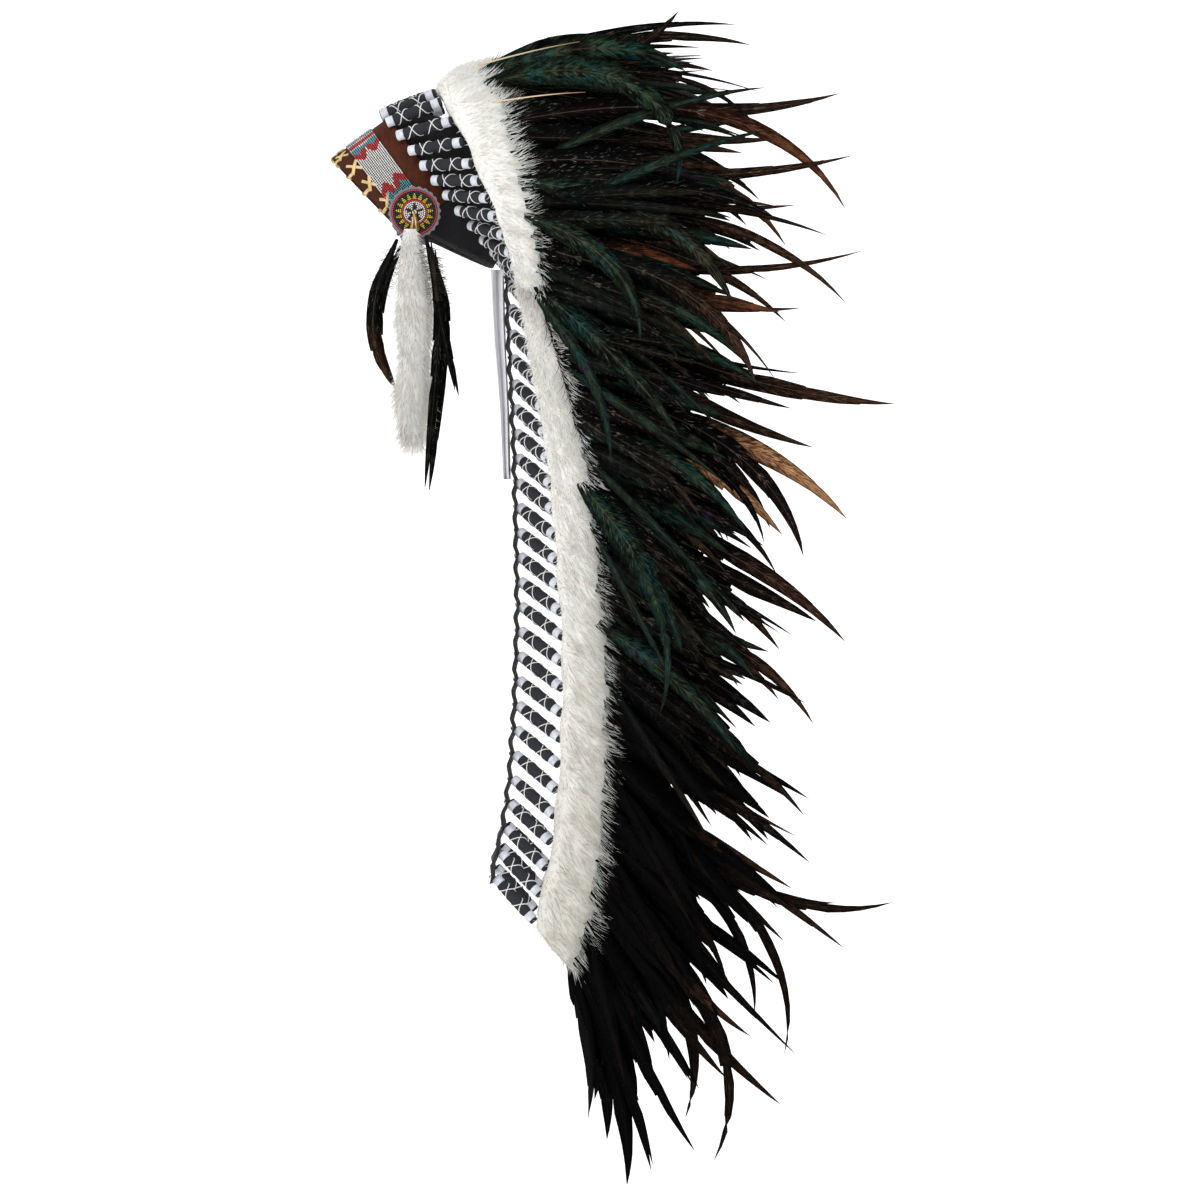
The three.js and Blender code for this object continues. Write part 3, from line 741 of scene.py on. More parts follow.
def wreath(stock, rings):
    """A closed form whose last ring joins its first."""
    rings = np.asarray(rings, float)
    rows, columns = rings.shape[:2]
    stock.add(rings.reshape(-1, 3), ring_quads(rows + 1, columns) % (rows * columns))


def frames(path):
    """Two directions across a path at each point, without twist."""
    path = np.asarray(path, float)
    run = unit(np.gradient(path, axis=0))
    start = np.array([0, 0, 1.0]) if abs(run[0][2]) < 0.9 else np.array([1.0, 0, 0])
    across = [unit(np.cross(run[0], start))]
    for step in run[1:]:
        across.append(unit(across[-1] - step * (across[-1] @ step)))
    across = np.array(across)
    return across, np.cross(run, across)


def tube(stock, path, radius, sides=6, mark=0, **notes):
    path = np.asarray(path, float)
    across, over = frames(path)
    angle = np.arange(sides) / sides * 2 * math.pi
    radius = np.broadcast_to(np.asarray(radius, float), (len(path),))
    rings = (path[:, None] + (across[:, None] * np.cos(angle)[None, :, None]
                              + over[:, None] * np.sin(angle)[None, :, None]) * radius[:, None, None])
    loft(stock, rings, mark, **notes)


def finish_piece(piece, nodes=()):
    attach(piece, "root")
    if nodes:
        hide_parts(*nodes)
    return piece


# ---------------------------------------------------------------- repeated work, by geometry nodes
class Plan(Wiring):
    """A Geometry Nodes tree with named inputs, whose result becomes a plain mesh."""

    def __init__(self, name, **inputs):
        super().__init__(bpy.data.node_groups.new(name, "GeometryNodeTree"))
        self.tree.is_modifier = True
        self.sockets = {}
        for key, kind in dict(geometry="Geometry", **inputs).items():
            label = key.replace("_", " ")
            self.sockets[key] = self.tree.interface.new_socket(
                label, in_out="INPUT", socket_type="NodeSocket" + kind)
        self.tree.interface.new_socket("geometry", in_out="OUTPUT", socket_type="NodeSocketGeometry")
        self.entry = self.tree.nodes.new("NodeGroupInput")

    def given(self, key):
        return Value(self, self.entry.outputs[key.replace("_", " ")])

    def named(self, name, kind="FLOAT_VECTOR"):
        return self.node("GeometryNodeInputNamedAttribute", dict(data_type=kind), name)

    def vector(self, operation, *terms):
        return self.node("ShaderNodeVectorMath", dict(operation=operation), *terms)

    def close(self, geometry):
        """Loose copies become one mesh, in one finish."""
        plain = self.node("GeometryNodeRealizeInstances", None, geometry)
        smooth = self.node("GeometryNodeSetShadeSmooth", None, plain)
        done = self.node("GeometryNodeSetMaterial", None, smooth, Material=self.given("finish"))
        leave = self.tree.nodes.new("NodeGroupOutput")
        self.feed(leave.inputs[0], done)

    def run(self, name, piece, spent=(), **values):
        """Runs the tree on a piece and gives the plain result; spent attributes are taken off it."""
        modifier = piece.modifiers.new("plan", "NODES")
        modifier.node_group = self.tree
        for key, value in values.items():
            modifier[self.sockets[key].identifier] = value
        graph = bpy.context.evaluated_depsgraph_get()
        graph.update()
        mesh = bpy.data.meshes.new_from_object(piece.evaluated_get(graph))
        piece.modifiers.remove(modifier)
        bpy.data.objects.remove(piece)
        for key in spent:
            if key in mesh.attributes:
                mesh.attributes.remove(mesh.attributes[key])
        mesh.name = name
        result = bpy.data.objects.new(name, mesh)
        bpy.context.scene.collection.objects.link(result)
        return result


def planting():
    """A copy of a pattern on each point: its Z along "facing", its X along "lengthwise"."""
    plan = Plan("planting", pattern="Object", finish="Material")
    pattern = plan.node("GeometryNodeObjectInfo", None, plan.given("pattern"), out="Geometry")
    turn = plan.node("FunctionNodeAxesToRotation", dict(primary_axis="Z", secondary_axis="X"),
                     plan.named("facing"), plan.named("lengthwise"))
    copies = plan.node("GeometryNodeInstanceOnPoints", None, plan.given("geometry"), Instance=pattern,
                       Rotation=turn, Scale=plan.named("size"))
    plan.close(copies)
    return plan


def tufting():
    """Strands scattered over a skin. They lie along "lay", lift off the skin, and keep the skin."""
    plan = Plan("tufting", pattern="Object", finish="Material", density="Float", seed="Int",
                lift="Float", spread="Float", shortest="Float", longest="Float")
    skin = plan.given("geometry")
    chance = plan.given("density") * plan.named("thick", "FLOAT")
    grown = plan.node("GeometryNodeDistributePointsOnFaces", None, skin, Density=chance,
                      Seed=plan.given("seed"))
    normal = Value(plan, grown.socket.node.outputs["Normal"])
    loose = plan.node("FunctionNodeRandomValue", dict(data_type="FLOAT_VECTOR"), (-1, -1, -1), (1, 1, 1))
    loose = plan.vector("SCALE", loose)
    plan.feed(loose.socket.node.inputs["Scale"], plan.given("spread"))
    lifted = plan.vector("SCALE", normal)
    plan.feed(lifted.socket.node.inputs["Scale"], plan.given("lift"))
    way = plan.vector("ADD", plan.vector("ADD", plan.named("lay"), lifted), loose)
    turn = plan.node("FunctionNodeAxesToRotation", dict(primary_axis="Z", secondary_axis="X"), way, normal)
    pattern = plan.node("GeometryNodeObjectInfo", None, plan.given("pattern"), out="Geometry")
    length = plan.node("FunctionNodeRandomValue", dict(data_type="FLOAT"), out=1)
    for place, key in ((2, "shortest"), (3, "longest")):
        plan.feed(length.socket.node.inputs[place], plan.given(key))
    length = length * plan.named("long", "FLOAT")
    size = plan.node("ShaderNodeCombineXYZ", None, 1.0, 1.0, length)
    strands = plan.node("GeometryNodeInstanceOnPoints", None, grown, Instance=pattern, Rotation=turn,
                        Scale=size)
    both = plan.tree.nodes.new("GeometryNodeJoinGeometry")
    plan.feed(both.inputs[0], plan.node("GeometryNodeRealizeInstances", None, strands))
    plan.feed(both.inputs[0], skin)
    plan.close(Value(plan, both.outputs[0]))
    return plan


def strand(name, width, bend):
    """A bent hair one unit long, three-sided, with its point at the far end."""
    stock = Stock()
    rings = []
    for share, thick in ((-0.06, 0.5), (0.45, 1.0)):
        ring = [(math.cos(a) * width * thick / 2 / MM + bend * share**2 / MM,
                 math.sin(a) * width * thick * 0.6 / 2 / MM, share / MM)
                for a in (0, 2.0944, 4.1888)]
        rings.append(ring)
    points = rings[0] + rings[1] + [(bend / MM, 0, 1 / MM)]
    faces = [(0, 2, 1), (3, 4, 6), (4, 5, 6), (5, 3, 6)]
    stock.add(points, ring_quads(2, 3), faces, tip=[0, 0, 0, 0.5, 0.5, 0.5, 1.0])
    return stock.build(name, [])


def planted(name, pattern, finish, points, facing, lengthwise, size, **notes):
    """Copies of a pattern at points given in millimetres."""
    stock = Stock()
    count = len(points)
    size = np.broadcast_to(np.asarray(size, float), (count, 3))
    stock.add(points, facing=facing, lengthwise=lengthwise, size=size, **notes)
    dots = stock.build(name + "_places", [])
    return PLANTING.run(name, dots, ("facing", "lengthwise", "size"), pattern=pattern, finish=finish)


PLANTING = planting()
TUFTING = tufting()


# ---------------------------------------------------------------- felt cap
def cap_low(back):
    """The rim rises towards the nape, where the trailers hang."""
    return -19.0 if back < -10 else -19.0 + 39.5 * (back + 10) / 110


def rim_height(angle):
    return cap_low(outline(angle, CAP["length"], CAP["width"])[1])


def felt_cap(finish):
    around, rows = 72, 22
    walls = []
    for grow in (0.0, -CAP["wall"]):
        rings = []
        for i in range(rows):
            ring = []
            for angle in full_turn(around):
                low = rim_height(angle)
                rise = i / rows
                height = low + (CAP["top"] - low) * math.sin(rise * math.pi / 2)
                slack = 0.5 * math.sin(9 * angle + 4 * rise) * math.sin(math.pi * rise)
                ring.append(raised(cap_point(angle, height, grow + slack)))
            rings.append(ring)
        walls.append(rings)
    stock = Stock()
    loft(stock, walls[1][::-1] + walls[0])
    return finish_piece(stock.build("felt_cap", [finish]), ["cap"])


def cap_binding(finish):
    """The folded tape along the cap's rim, and two seams over the crown."""
    stock = Stock()
    count = 120
    section = [(1.6 * math.cos(a), 2.6 * math.sin(a)) for a in full_turn(8)]
    rings = []
    for i, angle in enumerate(full_turn(count)):
        rim = rim_height(angle)
        ripple = 0.25 * math.sin(i * 1.9)
        rings.append([raised(cap_point(angle, rim + 1.6 + up, out - CAP["wall"] / 2 + ripple))
                      for out, up in section])
    wreath(stock, rings)
    for angle in (math.pi / 2, 3 * math.pi / 2):
        path = [cap_point(angle, rim_height(angle) + (CAP["top"] - rim_height(angle)) * math.sin(r), 0.3)
                for r in np.linspace(0.5, math.pi / 2 * 0.985, 22)]
        tube(stock, raised(np.array(path)), 1.1, 6)
    return finish_piece(stock.build("cap_binding", [finish]))


# ---------------------------------------------------------------- brow band, lacing and beads
BAND_FINE = np.linspace(0, math.pi, 3142)
BAND_WALK = np.concatenate([[0], np.cumsum(np.linalg.norm(np.diff(
    np.array([outline(a, BAND["length"], BAND["width"]) for a in BAND_FINE]), axis=0), axis=1))])
PANEL_END = float(np.interp(angle_at(-PANEL["end"]), BAND_FINE, BAND_WALK))
BAND_END = float(np.interp(angle_at(-BAND["end"]), BAND_FINE, BAND_WALK))


def band_spot(walk, height, grow=0.0):
    """A place on the band: walk is the way round from the middle of the brow, positive to the left."""
    angle = math.copysign(float(np.interp(abs(walk), BAND_WALK, BAND_FINE)), walk)
    return raised(band_point(angle, height, grow))


def band_back(walk):
    angle = float(np.interp(abs(walk), BAND_WALK, BAND_FINE))
    return outline(angle, BAND["length"], BAND["width"])[1]


def band_facing(walk, height):
    along_it = band_spot(walk + 0.5, height) - band_spot(walk - 0.5, height)
    up_it = band_spot(walk, height + 0.5) - band_spot(walk, height - 0.5)
    facing = unit(np.cross(along_it, up_it))
    inside = raised(np.array([0.0, 0.0, height]))
    if facing @ (band_spot(walk, height) - inside) < 0:
        facing = -facing
    return facing, unit(along_it)


def suede_band(finish):
    steps = 130
    outer = [0.02, 0.18, 0.34, 0.5, 0.66, 0.82, 0.98]
    section = [(0.0, -0.4)] + [(share, 0.0) for share in outer] + [(1.0, -0.4), (1.0, -1.2)]
    section += [(share, -BAND["wall"]) for share in outer[::-1]] + [(0.0, -1.2)]
    rings, heights = [], []
    for i in range(steps + 1):
        walk = BAND_END * (2 * i / steps - 1)
        low, high = BAND["low"], edge(BAND["high"], BAND["fall"], band_back(walk))
        ring = []
        for share, grow in section:
            swell = 0.3 * math.sin(walk * 0.11 + 5 * share) * math.sin(math.pi * share)
            ring.append(band_spot(walk, low + (high - low) * share, grow + (swell if grow > -0.1 else 0)))
        rings.append(ring)
        heights.append([share for share, _ in section])
    stock = Stock()
    loft(stock, rings, height=heights)
    return finish_piece(stock.build("suede_band", [finish]), ["brow_band"])


def flat_lace(stock, path, width, thickness):
    """A flat thong over places on the band, given as walk, height and grow."""
    path = np.array(path, float)
    run = unit(np.gradient(path[:, :2], axis=0))
    rings = []
    for (walk, height, grow), (a, b) in zip(path, run):
        side = np.array([-b, a]) * width / 2
        ring = []
        for share, lift in ((-1, 0.0), (-0.8, 0.75), (0, 1.0), (0.8, 0.75), (1, 0.0)):
            ring.append(band_spot(walk + side[0] * share, height + side[1] * share, grow + lift * thickness))
        ring.append(band_spot(walk, height, grow - 0.1))
        rings.append(ring)
    loft(stock, rings)


def lacing(finish):
    """Crossed thongs along the lower edge; one leg of each goes round the edge to the inside."""
    stock = Stock()
    pitch, arm = 25.5, 15.5
    count = int(BAND_END // pitch)
    for i in range(-count, count + 1):
        walk = i * pitch + 2 * scatter(i, 1)
        height = BAND["low"] + 10.0 + 1.5 * scatter(i, 2)
        for turn, lift in ((32 + 14 * scatter(i, 3), 0.15), (-36 + 14 * scatter(i, 4), 1.0)):
            c, s = math.cos(math.radians(turn)), math.sin(math.radians(turn))
            reach = arm / 2 * (1 + 0.2 * scatter(i, 5))
            path = [(walk + c * reach * t, height + s * reach * t * 1.25, 0.1 + lift * (1 - t * t))
                    for t in np.linspace(-1, 1, 9)]
            flat_lace(stock, path, 3.5, 1.0)
        foot = walk + 4.5 + 2 * scatter(i, 6)
        drop = [(0.0, 4.5, 0.1), (0.3, 2.2, 0.25), (0.6, 0.5, 0.2), (0.8, -0.7, -0.6), (0.9, -0.9, -1.6),
                (1.0, 0.3, -BAND["wall"] - 1.1), (1.2, 4.0, -BAND["wall"] - 1.1)]
        points = np.array([[band_spot(foot + a + w, BAND["low"] + b, g) for w in (-1.7, 1.7)]
                           for a, b, g in drop])
        run = unit(np.gradient(points.mean(1), axis=0))
        across = unit(points[:, 1] - points[:, 0])
        over = np.cross(run, across)
        rings = [[l, l + o * 0.9, (l + r) / 2 + o * 1.1, r + o * 0.9, r, (l + r) / 2 - o * 0.1]
                 for (l, r), o in zip(points, over)]
        loft(stock, rings)
    return finish_piece(stock.build("edge_lacing", [finish]))


WHITE, TURQUOISE, RED = (0.74, 0.73, 0.7), (0.1, 0.36, 0.42), (0.56, 0.02, 0.018)
YELLOW, BLACK = (0.68, 0.55, 0.02), (0.008, 0.008, 0.009)
# The stepped pattern beside a red bar, by rows out from the middle row: W white, T turquoise, R red
STEPPED = [
    "WWTTTWWWWWWWW",
    "WWTTRRRRWWWWW",
    "WWTTRRRRRRWWW",
    "WTTTTRRRRRRWW",
    "WTTTTTTRRRRWW",
    "WTTTTTRRRRWWW",
    "WTTTTRRRRWWWW",
    "WTTTRRRRWWWWW",
]
BAR_START, BAR_WIDTH = 24, 4


def chart_colour(column, row):
    """The bead's colour: column counts from the middle of the brow, row from the middle row."""
    colours = dict(W=WHITE, T=TURQUOISE, R=RED)
    line = STEPPED[abs(row)]
    column = abs(column)
    last = int(PANEL_END / BEAD_PITCH)
    if BAR_START <= column < BAR_START + BAR_WIDTH or column > last - 2:
        return RED
    for distance in (BAR_START - 1 - column, column - BAR_START - BAR_WIDTH, last - 2 - column):
        if 0 <= distance < len(line):
            return colours[line[distance]]
    return WHITE


def bead_pattern():
    mesh = bpy.data.meshes.new("bead_pattern")
    maker = bmesh.new()
    bmesh.ops.create_uvsphere(maker, u_segments=6, v_segments=4, radius=1.0,
                              matrix=Matrix.Rotation(math.pi / 2, 4, "Y"))
    maker.to_mesh(mesh)
    maker.free()
    return bpy.data.objects.new("bead_pattern", mesh)


def strung(name, nodes, pattern, finish, spots):
    """Beads at spots, each with its place, facing, lengthwise direction, length, colour and number."""
    places, facings, runs, lengths, colours, numbers = zip(*spots)
    numbers = np.array(numbers)
    size = np.array([[length * 0.48, 0.88, 0.88] for length in lengths]) * MM
    size *= (1 + 0.08 * np.array([scatter(n, 3) for n in numbers]))[:, None]
    shade = [scatter(n, 5) + 0.5 for n in numbers]
    colours = np.concatenate([np.array(colours), np.ones((len(colours), 1))], 1)
    beads = planted(name, pattern, finish, np.array(places), np.array(facings), np.array(runs), size,
                    bead_colour=colours, bead_shade=shade)
    return finish_piece(beads, nodes)


def bead_panel(pattern, finish, cloth):
    spots = []
    last = int(PANEL_END / BEAD_PITCH)
    for column in range(-last, last + 1):
        for row in range(-7, 8):
            number = column * 31 + row
            walk = column * BEAD_PITCH + 0.15 * scatter(number, 1)
            height = edge(PANEL["middle"], PANEL["fall"], band_back(walk))
            height += row * BEAD_PITCH + 0.15 * scatter(number, 2)
            facing, run = band_facing(walk, height)
            place = band_spot(walk, height, GAP + 1.05)
            spots.append((place, facing, run, BEAD_PITCH, chart_colour(column, row), number))
    strung("bead_panel_beads", ["bead_panel"], pattern, finish, spots)
    stock = Stock()
    rings = []
    for walk in np.linspace(-PANEL_END - 0.6, PANEL_END + 0.6, 110):
        middle = edge(PANEL["middle"], PANEL["fall"], band_back(walk))
        ring = [band_spot(walk, middle + up, grow) for up, grow in
                ((-15.7, 0.2), (-15.4, 0.75), (0, 0.8), (15.4, 0.75), (15.7, 0.2), (0, 0.1))]
        rings.append(ring)
    loft(stock, rings)
    finish_piece(stock.build("bead_panel_backing", [cloth]))


# ---------------------------------------------------------------- rosettes
ROSETTE_FACE = float(band_point(math.pi / 2, BAND["low"])[0]) + PANEL["wall"] + 2 * GAP
ROSETTE_MIDDLE = raised(np.array([0.0, 1.0, -0.5]))
ROSETTE_PITCH = 1.955


def rosette_spot(sign, radius, angle, out):
    """A place on a rosette: angle from straight back, turning up."""
    return np.array([sign * (ROSETTE_FACE + out), ROSETTE_MIDDLE[1] + radius * math.cos(angle),
                     ROSETTE_MIDDLE[2] + radius * math.sin(angle)])


MOTIFS = 17


def ring_beads(ring):
    """Places round a ring, as angles. Rings 7 to 10 carry the triangles, four places to each."""
    if 7 <= ring <= 10:
        half = 0.5 if ring in (8, 10) else 0.0
        return [2 * math.pi * (i + half) / (4 * MOTIFS) for i in range(4 * MOTIFS)]
    count = max(1, round(math.pi * ring * BEAD_PITCH)) if ring else 1
    return [2 * math.pi * (i + 0.37 * ring) / count for i in range(count)]


def ring_colour(ring, angle):
    """Rings are numbered from the middle: a five-armed star, then triangles between two red rings."""
    if ring >= 11 or ring == 6:
        return RED
    if ring > 6:
        place = round(angle / (2 * math.pi) * 4 * MOTIFS - (0.5 if ring in (8, 10) else 0.0)) % 4
        return YELLOW if place in ((0, 1, 2), (0, 1), (1,), ())[ring - 7] else BLACK
    turn = (angle - math.pi / 2) / (2 * math.pi) * 5 % 1
    off_arm = min(turn, 1 - turn) * 2
    return BLACK if ring < 1 or off_arm < (1, 1, 0.62, 0.4, 0.24, 0.0)[ring] else WHITE


def rosette(name, sign, pattern, beads_finish, felt_finish, cloth):
    stock = Stock()
    count = 120
    rings = []
    for radius, out in ((0.5, 0.0), (24.6, 0.0), (25.8, 0.35), (25.8, 1.25), (24.7, 1.6), (0.5, 1.6)):
        ring = []
        for angle in full_turn(count):
            wave = 0.8 * math.sin(24 * angle) if radius > 20 else 0.0
            ring.append(rosette_spot(sign, radius + wave, angle, out + 0.15 * math.sin(7 * angle)))
        rings.append(ring)
    loft(stock, rings)
    finish_piece(stock.build(f"rosette_felt_{name}", [felt_finish]), [f"rosette_backing_{name}"])

    disc = Stock()
    profile = ((0.5, 1.9), (22.5, 1.9), (23.1, 2.2), (22.5, 2.7), (0.5, 3.1))
    loft(disc, [[rosette_spot(sign, radius, angle, out) for angle in full_turn(40)]
                for radius, out in profile])
    finish_piece(disc.build(f"rosette_disc_{name}", [cloth]))

    spots = []
    for ring in range(12):
        radius = ring * ROSETTE_PITCH + 0.4
        angles = ring_beads(ring)
        for i, angle in enumerate(angles):
            number = ring * 97 + i
            place = rosette_spot(sign, radius, angle, 3.45 - 0.5 * (ring / 11) ** 3)
            run = np.array([0.0, -math.sin(angle), math.cos(angle)])
            length = 2 * math.pi * max(radius, 0.7) / len(angles)
            spots.append((place, np.array([sign, 0.0, 0.0]), run, length, ring_colour(ring, angle), number))
    strung(f"rosette_beads_{name}", [f"rosette_{name}"], pattern, beads_finish, spots)


def thongs(name, sign, finish, brown):
    """The knotted laces that tie the drop to the middle of a rosette."""
    stock = Stock()
    for i, (forward, low, width, mark) in enumerate(
            ((-3.0, -17.5, 1.7, 0), (-0.5, -19.0, 1.9, 1), (2.2, -18.0, 1.7, 0), (4.5, -16.5, 1.5, 1))):
        path = []
        for t in np.linspace(0, 1, 9):
            bow = 1.5 * math.sin(math.pi * t)
            path.append(ROSETTE_MIDDLE + np.array([0.0, forward * t**0.7 + 0.6 * scatter(i, 2),
                                                   low * t - 1.5 * (1 - t)]))
            path[-1][0] = sign * (ROSETTE_FACE + 4.8 + bow + 0.4 * i * (1 - t))
        tube(stock, path, np.linspace(width, width * 0.75, 9) * 0.62, 6, mark)
    for k, (turn, size) in enumerate(((0.3, 2.3), (1.5, 1.9), (2.6, 1.7))):
        knot = [rosette_spot(sign, 1.6, turn + a, 5.0 + 0.8 * math.sin(2 * a + k)) for a in
                np.linspace(0, 5.6, 12)]
        tube(stock, knot, size * 0.42, 6, k % 2)
    return finish_piece(stock.build(f"rosette_thongs_{name}", [finish, brown]))


# ---------------------------------------------------------------- wrapped quills
def turned(profile, sides=14):
    """A turned form along +Z from rows of length and radius."""
    stock = Stock()
    loft(stock, [[(radius * math.cos(a), radius * math.sin(a), z) for a in full_turn(sides)]
                 for z, radius in profile])
    return stock


def barrel_pattern():
    length, tape = QUILL["length"], QUILL["tape"]
    profile = [(0, 2.3), (0.3, 4.3), (1.0, 4.6), (tape + 0.6, 4.6), (tape + 1.4, 5.4), (length * 0.35, 5.7),
               (length * 0.6, 5.7), (length - tape - 4.4, 5.4), (length - tape - 3.6, 4.6),
               (length - 1.0, 4.5), (length - 0.3, 4.1), (length, 2.3)]
    return turned(profile).build("barrel_pattern", [])


def tape_pattern():
    """Two bands of tape, each wound twice, so that it steps."""
    stock = Stock()
    angles = full_turn(16)
    for start in (0.9, QUILL["length"] - QUILL["tape"] - 3.0):
        rows = ((0.0, 4.55), (0.15, 5.0), (0.5, 5.2), (3.0, 5.25), (6.8, 5.25), (7.5, 5.1), (7.8, 4.55))
        rings = [[((r + 0.07 * math.sin(3 * a)) * math.cos(a), (r + 0.07 * math.sin(3 * a)) * math.sin(a),
                   start + z) for a in angles] for z, r in rows]
        wrap = [[(z * MM, a * 0.006) for a in angles] for z, _ in rows]
        loft(stock, rings, wrap=wrap)
    return stock.build("tape_pattern", [])


def wrapped_quills(name, quills, nodes, patterns, finishes):
    """The black barrels, white bands and crossed threads of a row of quills."""
    bases = np.array([base for base, _ in quills])
    ways = np.array([way for _, way in quills])
    count = len(quills)
    turn = np.array([[scatter(i, 1) * 2, scatter(i, 2) * 2, scatter(i, 3) * 2] for i in range(count)])
    girth = np.array([[1 + 0.05 * scatter(i, 4), 1 + 0.05 * scatter(i, 5), 1.0] for i in range(count)])
    felt_piece = planted(f"{name}_barrels", patterns[0], finishes[0], bases, ways, turn, girth)
    finish_piece(felt_piece, nodes)
    finish_piece(planted(f"{name}_tape", patterns[1], finishes[1], bases, ways, turn, girth))
    stock = Stock()
    start, end = QUILL["tape"] + 0.4, QUILL["length"] - QUILL["tape"] - 2.8
    for i, (base, way) in enumerate(zip(bases, ways)):
        side = np.array([1.0 if base[0] >= 0 else -1.0, 0.2, 0.1])
        over = unit(side - way * (side @ way))
        across = np.cross(way, over)
        turns = 2.0 + 0.24 * scatter(i, 6)
        for hand in (1, -1):
            path = []
            for t in np.linspace(0, 1, 36):
                angle = math.pi + hand * turns * 2 * math.pi * t + 0.9 * scatter(i, 7)
                angle += 0.16 * math.sin(11 * t + i)
                radius = (5.45 + 0.35 * math.sin(math.pi * t)) * (1 + 0.025 * scatter(i, 5))
                radius += 0.3 if hand > 0 else 0.5
                place = start + (end - start) * t
                path.append(base + way * place + (over * math.cos(angle) + across * math.sin(angle)) * radius)
            tube(stock, path, 0.55, 4)
    finish_piece(stock.build(f"{name}_thread", [finishes[2]]))


# ---------------------------------------------------------------- trailers
def strap(name, sign, finish):
    """Webbing that ripples between the quills sewn to it, and leans so that its flat shows a little."""
    stock = Stock()
    heights = [quill(station, sign)[0][2] for station in HUNG]
    rows = np.linspace(0, LAST - CROWN_QUILLS - 1 + 0.25, 230)
    width = STRAP["far"] - STRAP["near"]
    section = ((0.0, 0.3), (0.04, 0.0), (0.5, -0.15), (0.96, 0.0), (1.0, 0.3), (1.0, 1.2), (0.96, 1.5),
               (0.5, 1.4), (0.04, 1.5), (0.0, 1.2))
    rings, weave = [], []
    for row in [-(STRAP["top"] - heights[0]) / TRAILER_PITCH] + list(rows):
        station = CROWN_QUILLS + 1 + max(0.0, min(row, LAST - CROWN_QUILLS - 1.0))
        height = float(np.interp(row, np.arange(len(heights)), heights))
        height -= max(0.0, row - len(heights) + 1) * TRAILER_PITCH - max(0.0, -row) * TRAILER_PITCH
        ripple = STRAP["wave"] * math.cos(2 * math.pi * row) * (0.8 + 0.5 * scatter(int(row + 0.5), 6))
        front = read(TRAILER, station, "back") - STRAP["ahead"] + ripple
        rings.append([(sign * (STRAP["near"] + width * share), front - STRAP["cant"] * share + depth, height)
                      for share, depth in section])
        weave.append([(share * width * MM, height * MM) for share, _ in section])
    loft(stock, rings, weave=weave)
    return finish_piece(stock.build(f"trailer_strap_{name}", [finish]), [f"trailer_{name}"])


def quill_ties(name, sign, finish):
    """Brown thread that sews each quill to the strap: one loop over the edge, and a small knot."""
    stock = Stock()
    for station in HUNG:
        base, _ = quill(station, sign)
        front = base[1] - STRAP["ahead"] - STRAP["cant"] / 2 - 1.2
        at = base + np.array([1.5 * scatter(station, 4), 0, 2.0 * scatter(station, 5)])
        loop = [at * (1, 0, 1) + (0.8 * math.sin(a), front + 3.2 * (1 - math.cos(a)), 2.6 * math.sin(a))
                for a in np.linspace(0, 5.6, 9)]
        tube(stock, loop, 0.34, 5)
        knot = np.array([at[0] + sign * 3, front + 0.4, at[2] + 0.5])
        tube(stock, [knot + np.array([1.0 * math.cos(a), 0.4 * math.sin(3 * a), 1.0 * math.sin(a)])
                     for a in np.linspace(0, 5.8, 8)], 0.5, 5)
    return finish_piece(stock.build(f"quill_ties_{name}", [finish]))


# ---------------------------------------------------------------- fur
# Breadth of a strand, and how far its tip bends, in metres
HAIR = dict(white=(0.00084, 0.003), dark=(0.0007, 0.006))
# Strands to the square metre
FUR_DENSITY = 110000
DROP_FUR_DENSITY = 1.6 * FUR_DENSITY
ROOT_DOWN_DENSITY = 230000
DROP_DOWN_DENSITY = 220000


def fur_ring(stock_rows, station, sign, count=22):
    """One ring of the ruff, with the way its hair lies; rows of points, lay, long and thick."""
    width, thickness = read(RUFF, station, "width"), read(RUFF, station, "thickness")
    inner, way = beyond(station, sign, FUR_START)
    run = along(station, sign, FUR_START + width / 2)
    across = unit(np.cross(run, way)) * sign
    valley = (1 - abs(math.cos(math.pi * station))) ** 2
    deep = 0.2 if station <= CROWN_QUILLS else 0.12
    ridge = 1 - deep * valley + 0.06 * scatter(int(station * 2) * sign, 3)
    points, lays, longs, thicks = [], [], [], []
    for j, angle in enumerate(full_turn(count)):
        c, s = math.cos(angle), math.sin(angle)
        lump = 1 + 0.05 * math.sin(3 * angle + station * 2.3) + 0.04 * math.sin(5 * angle - station * 4.1)
        lump *= ridge
        points.append(inner + way * width / 2 * (1 + c + 0.06 * c * math.sin(station * 2.1))
                      + across * s * thickness / 2 * lump)
        forward = 1.0 if c > -0.6 else 0.35
        sway = 0.22 * math.sin(station * 2.9 + angle) + 0.16 * math.sin(station * 7.3 + 2 * angle)
        lays.append(way * forward + across * 0.1 * s + run * sway)
        tuft = 0.5 * scatter(int(station * 2.6 + 40), 12 + j % 3) * max(0.0, c)
        longs.append(0.7 + 0.8 * max(0.0, c - 0.3) + tuft - 0.42 * (c < -0.6))
        thicks.append(1.0 + 0.9 * max(0.0, c) ** 2 - 0.3 * (c < -0.6))
    for rows, row in zip(stock_rows, (points, lays, longs, thicks)):
        rows.append(row)


def furred(name, rows, nodes, pattern, finish, density, lift=0.16, spread=0.26,
           length=(12.0, 22.0)):
    """A skin of rings, grown over with strands."""
    points, lays, longs, thicks = rows
    stock = Stock()
    loft(stock, points, lay=lays, long=np.array(longs)[..., None], thick=np.array(thicks)[..., None])
    skin = stock.build(name + "_skin", [finish])
    made = TUFTING.run(name, skin, ("lay", "long", "thick"), pattern=pattern, finish=finish,
                       density=density, seed=7, lift=lift, spread=spread, shortest=length[0] * MM,
                       longest=length[1] * MM)
    return finish_piece(made, nodes)


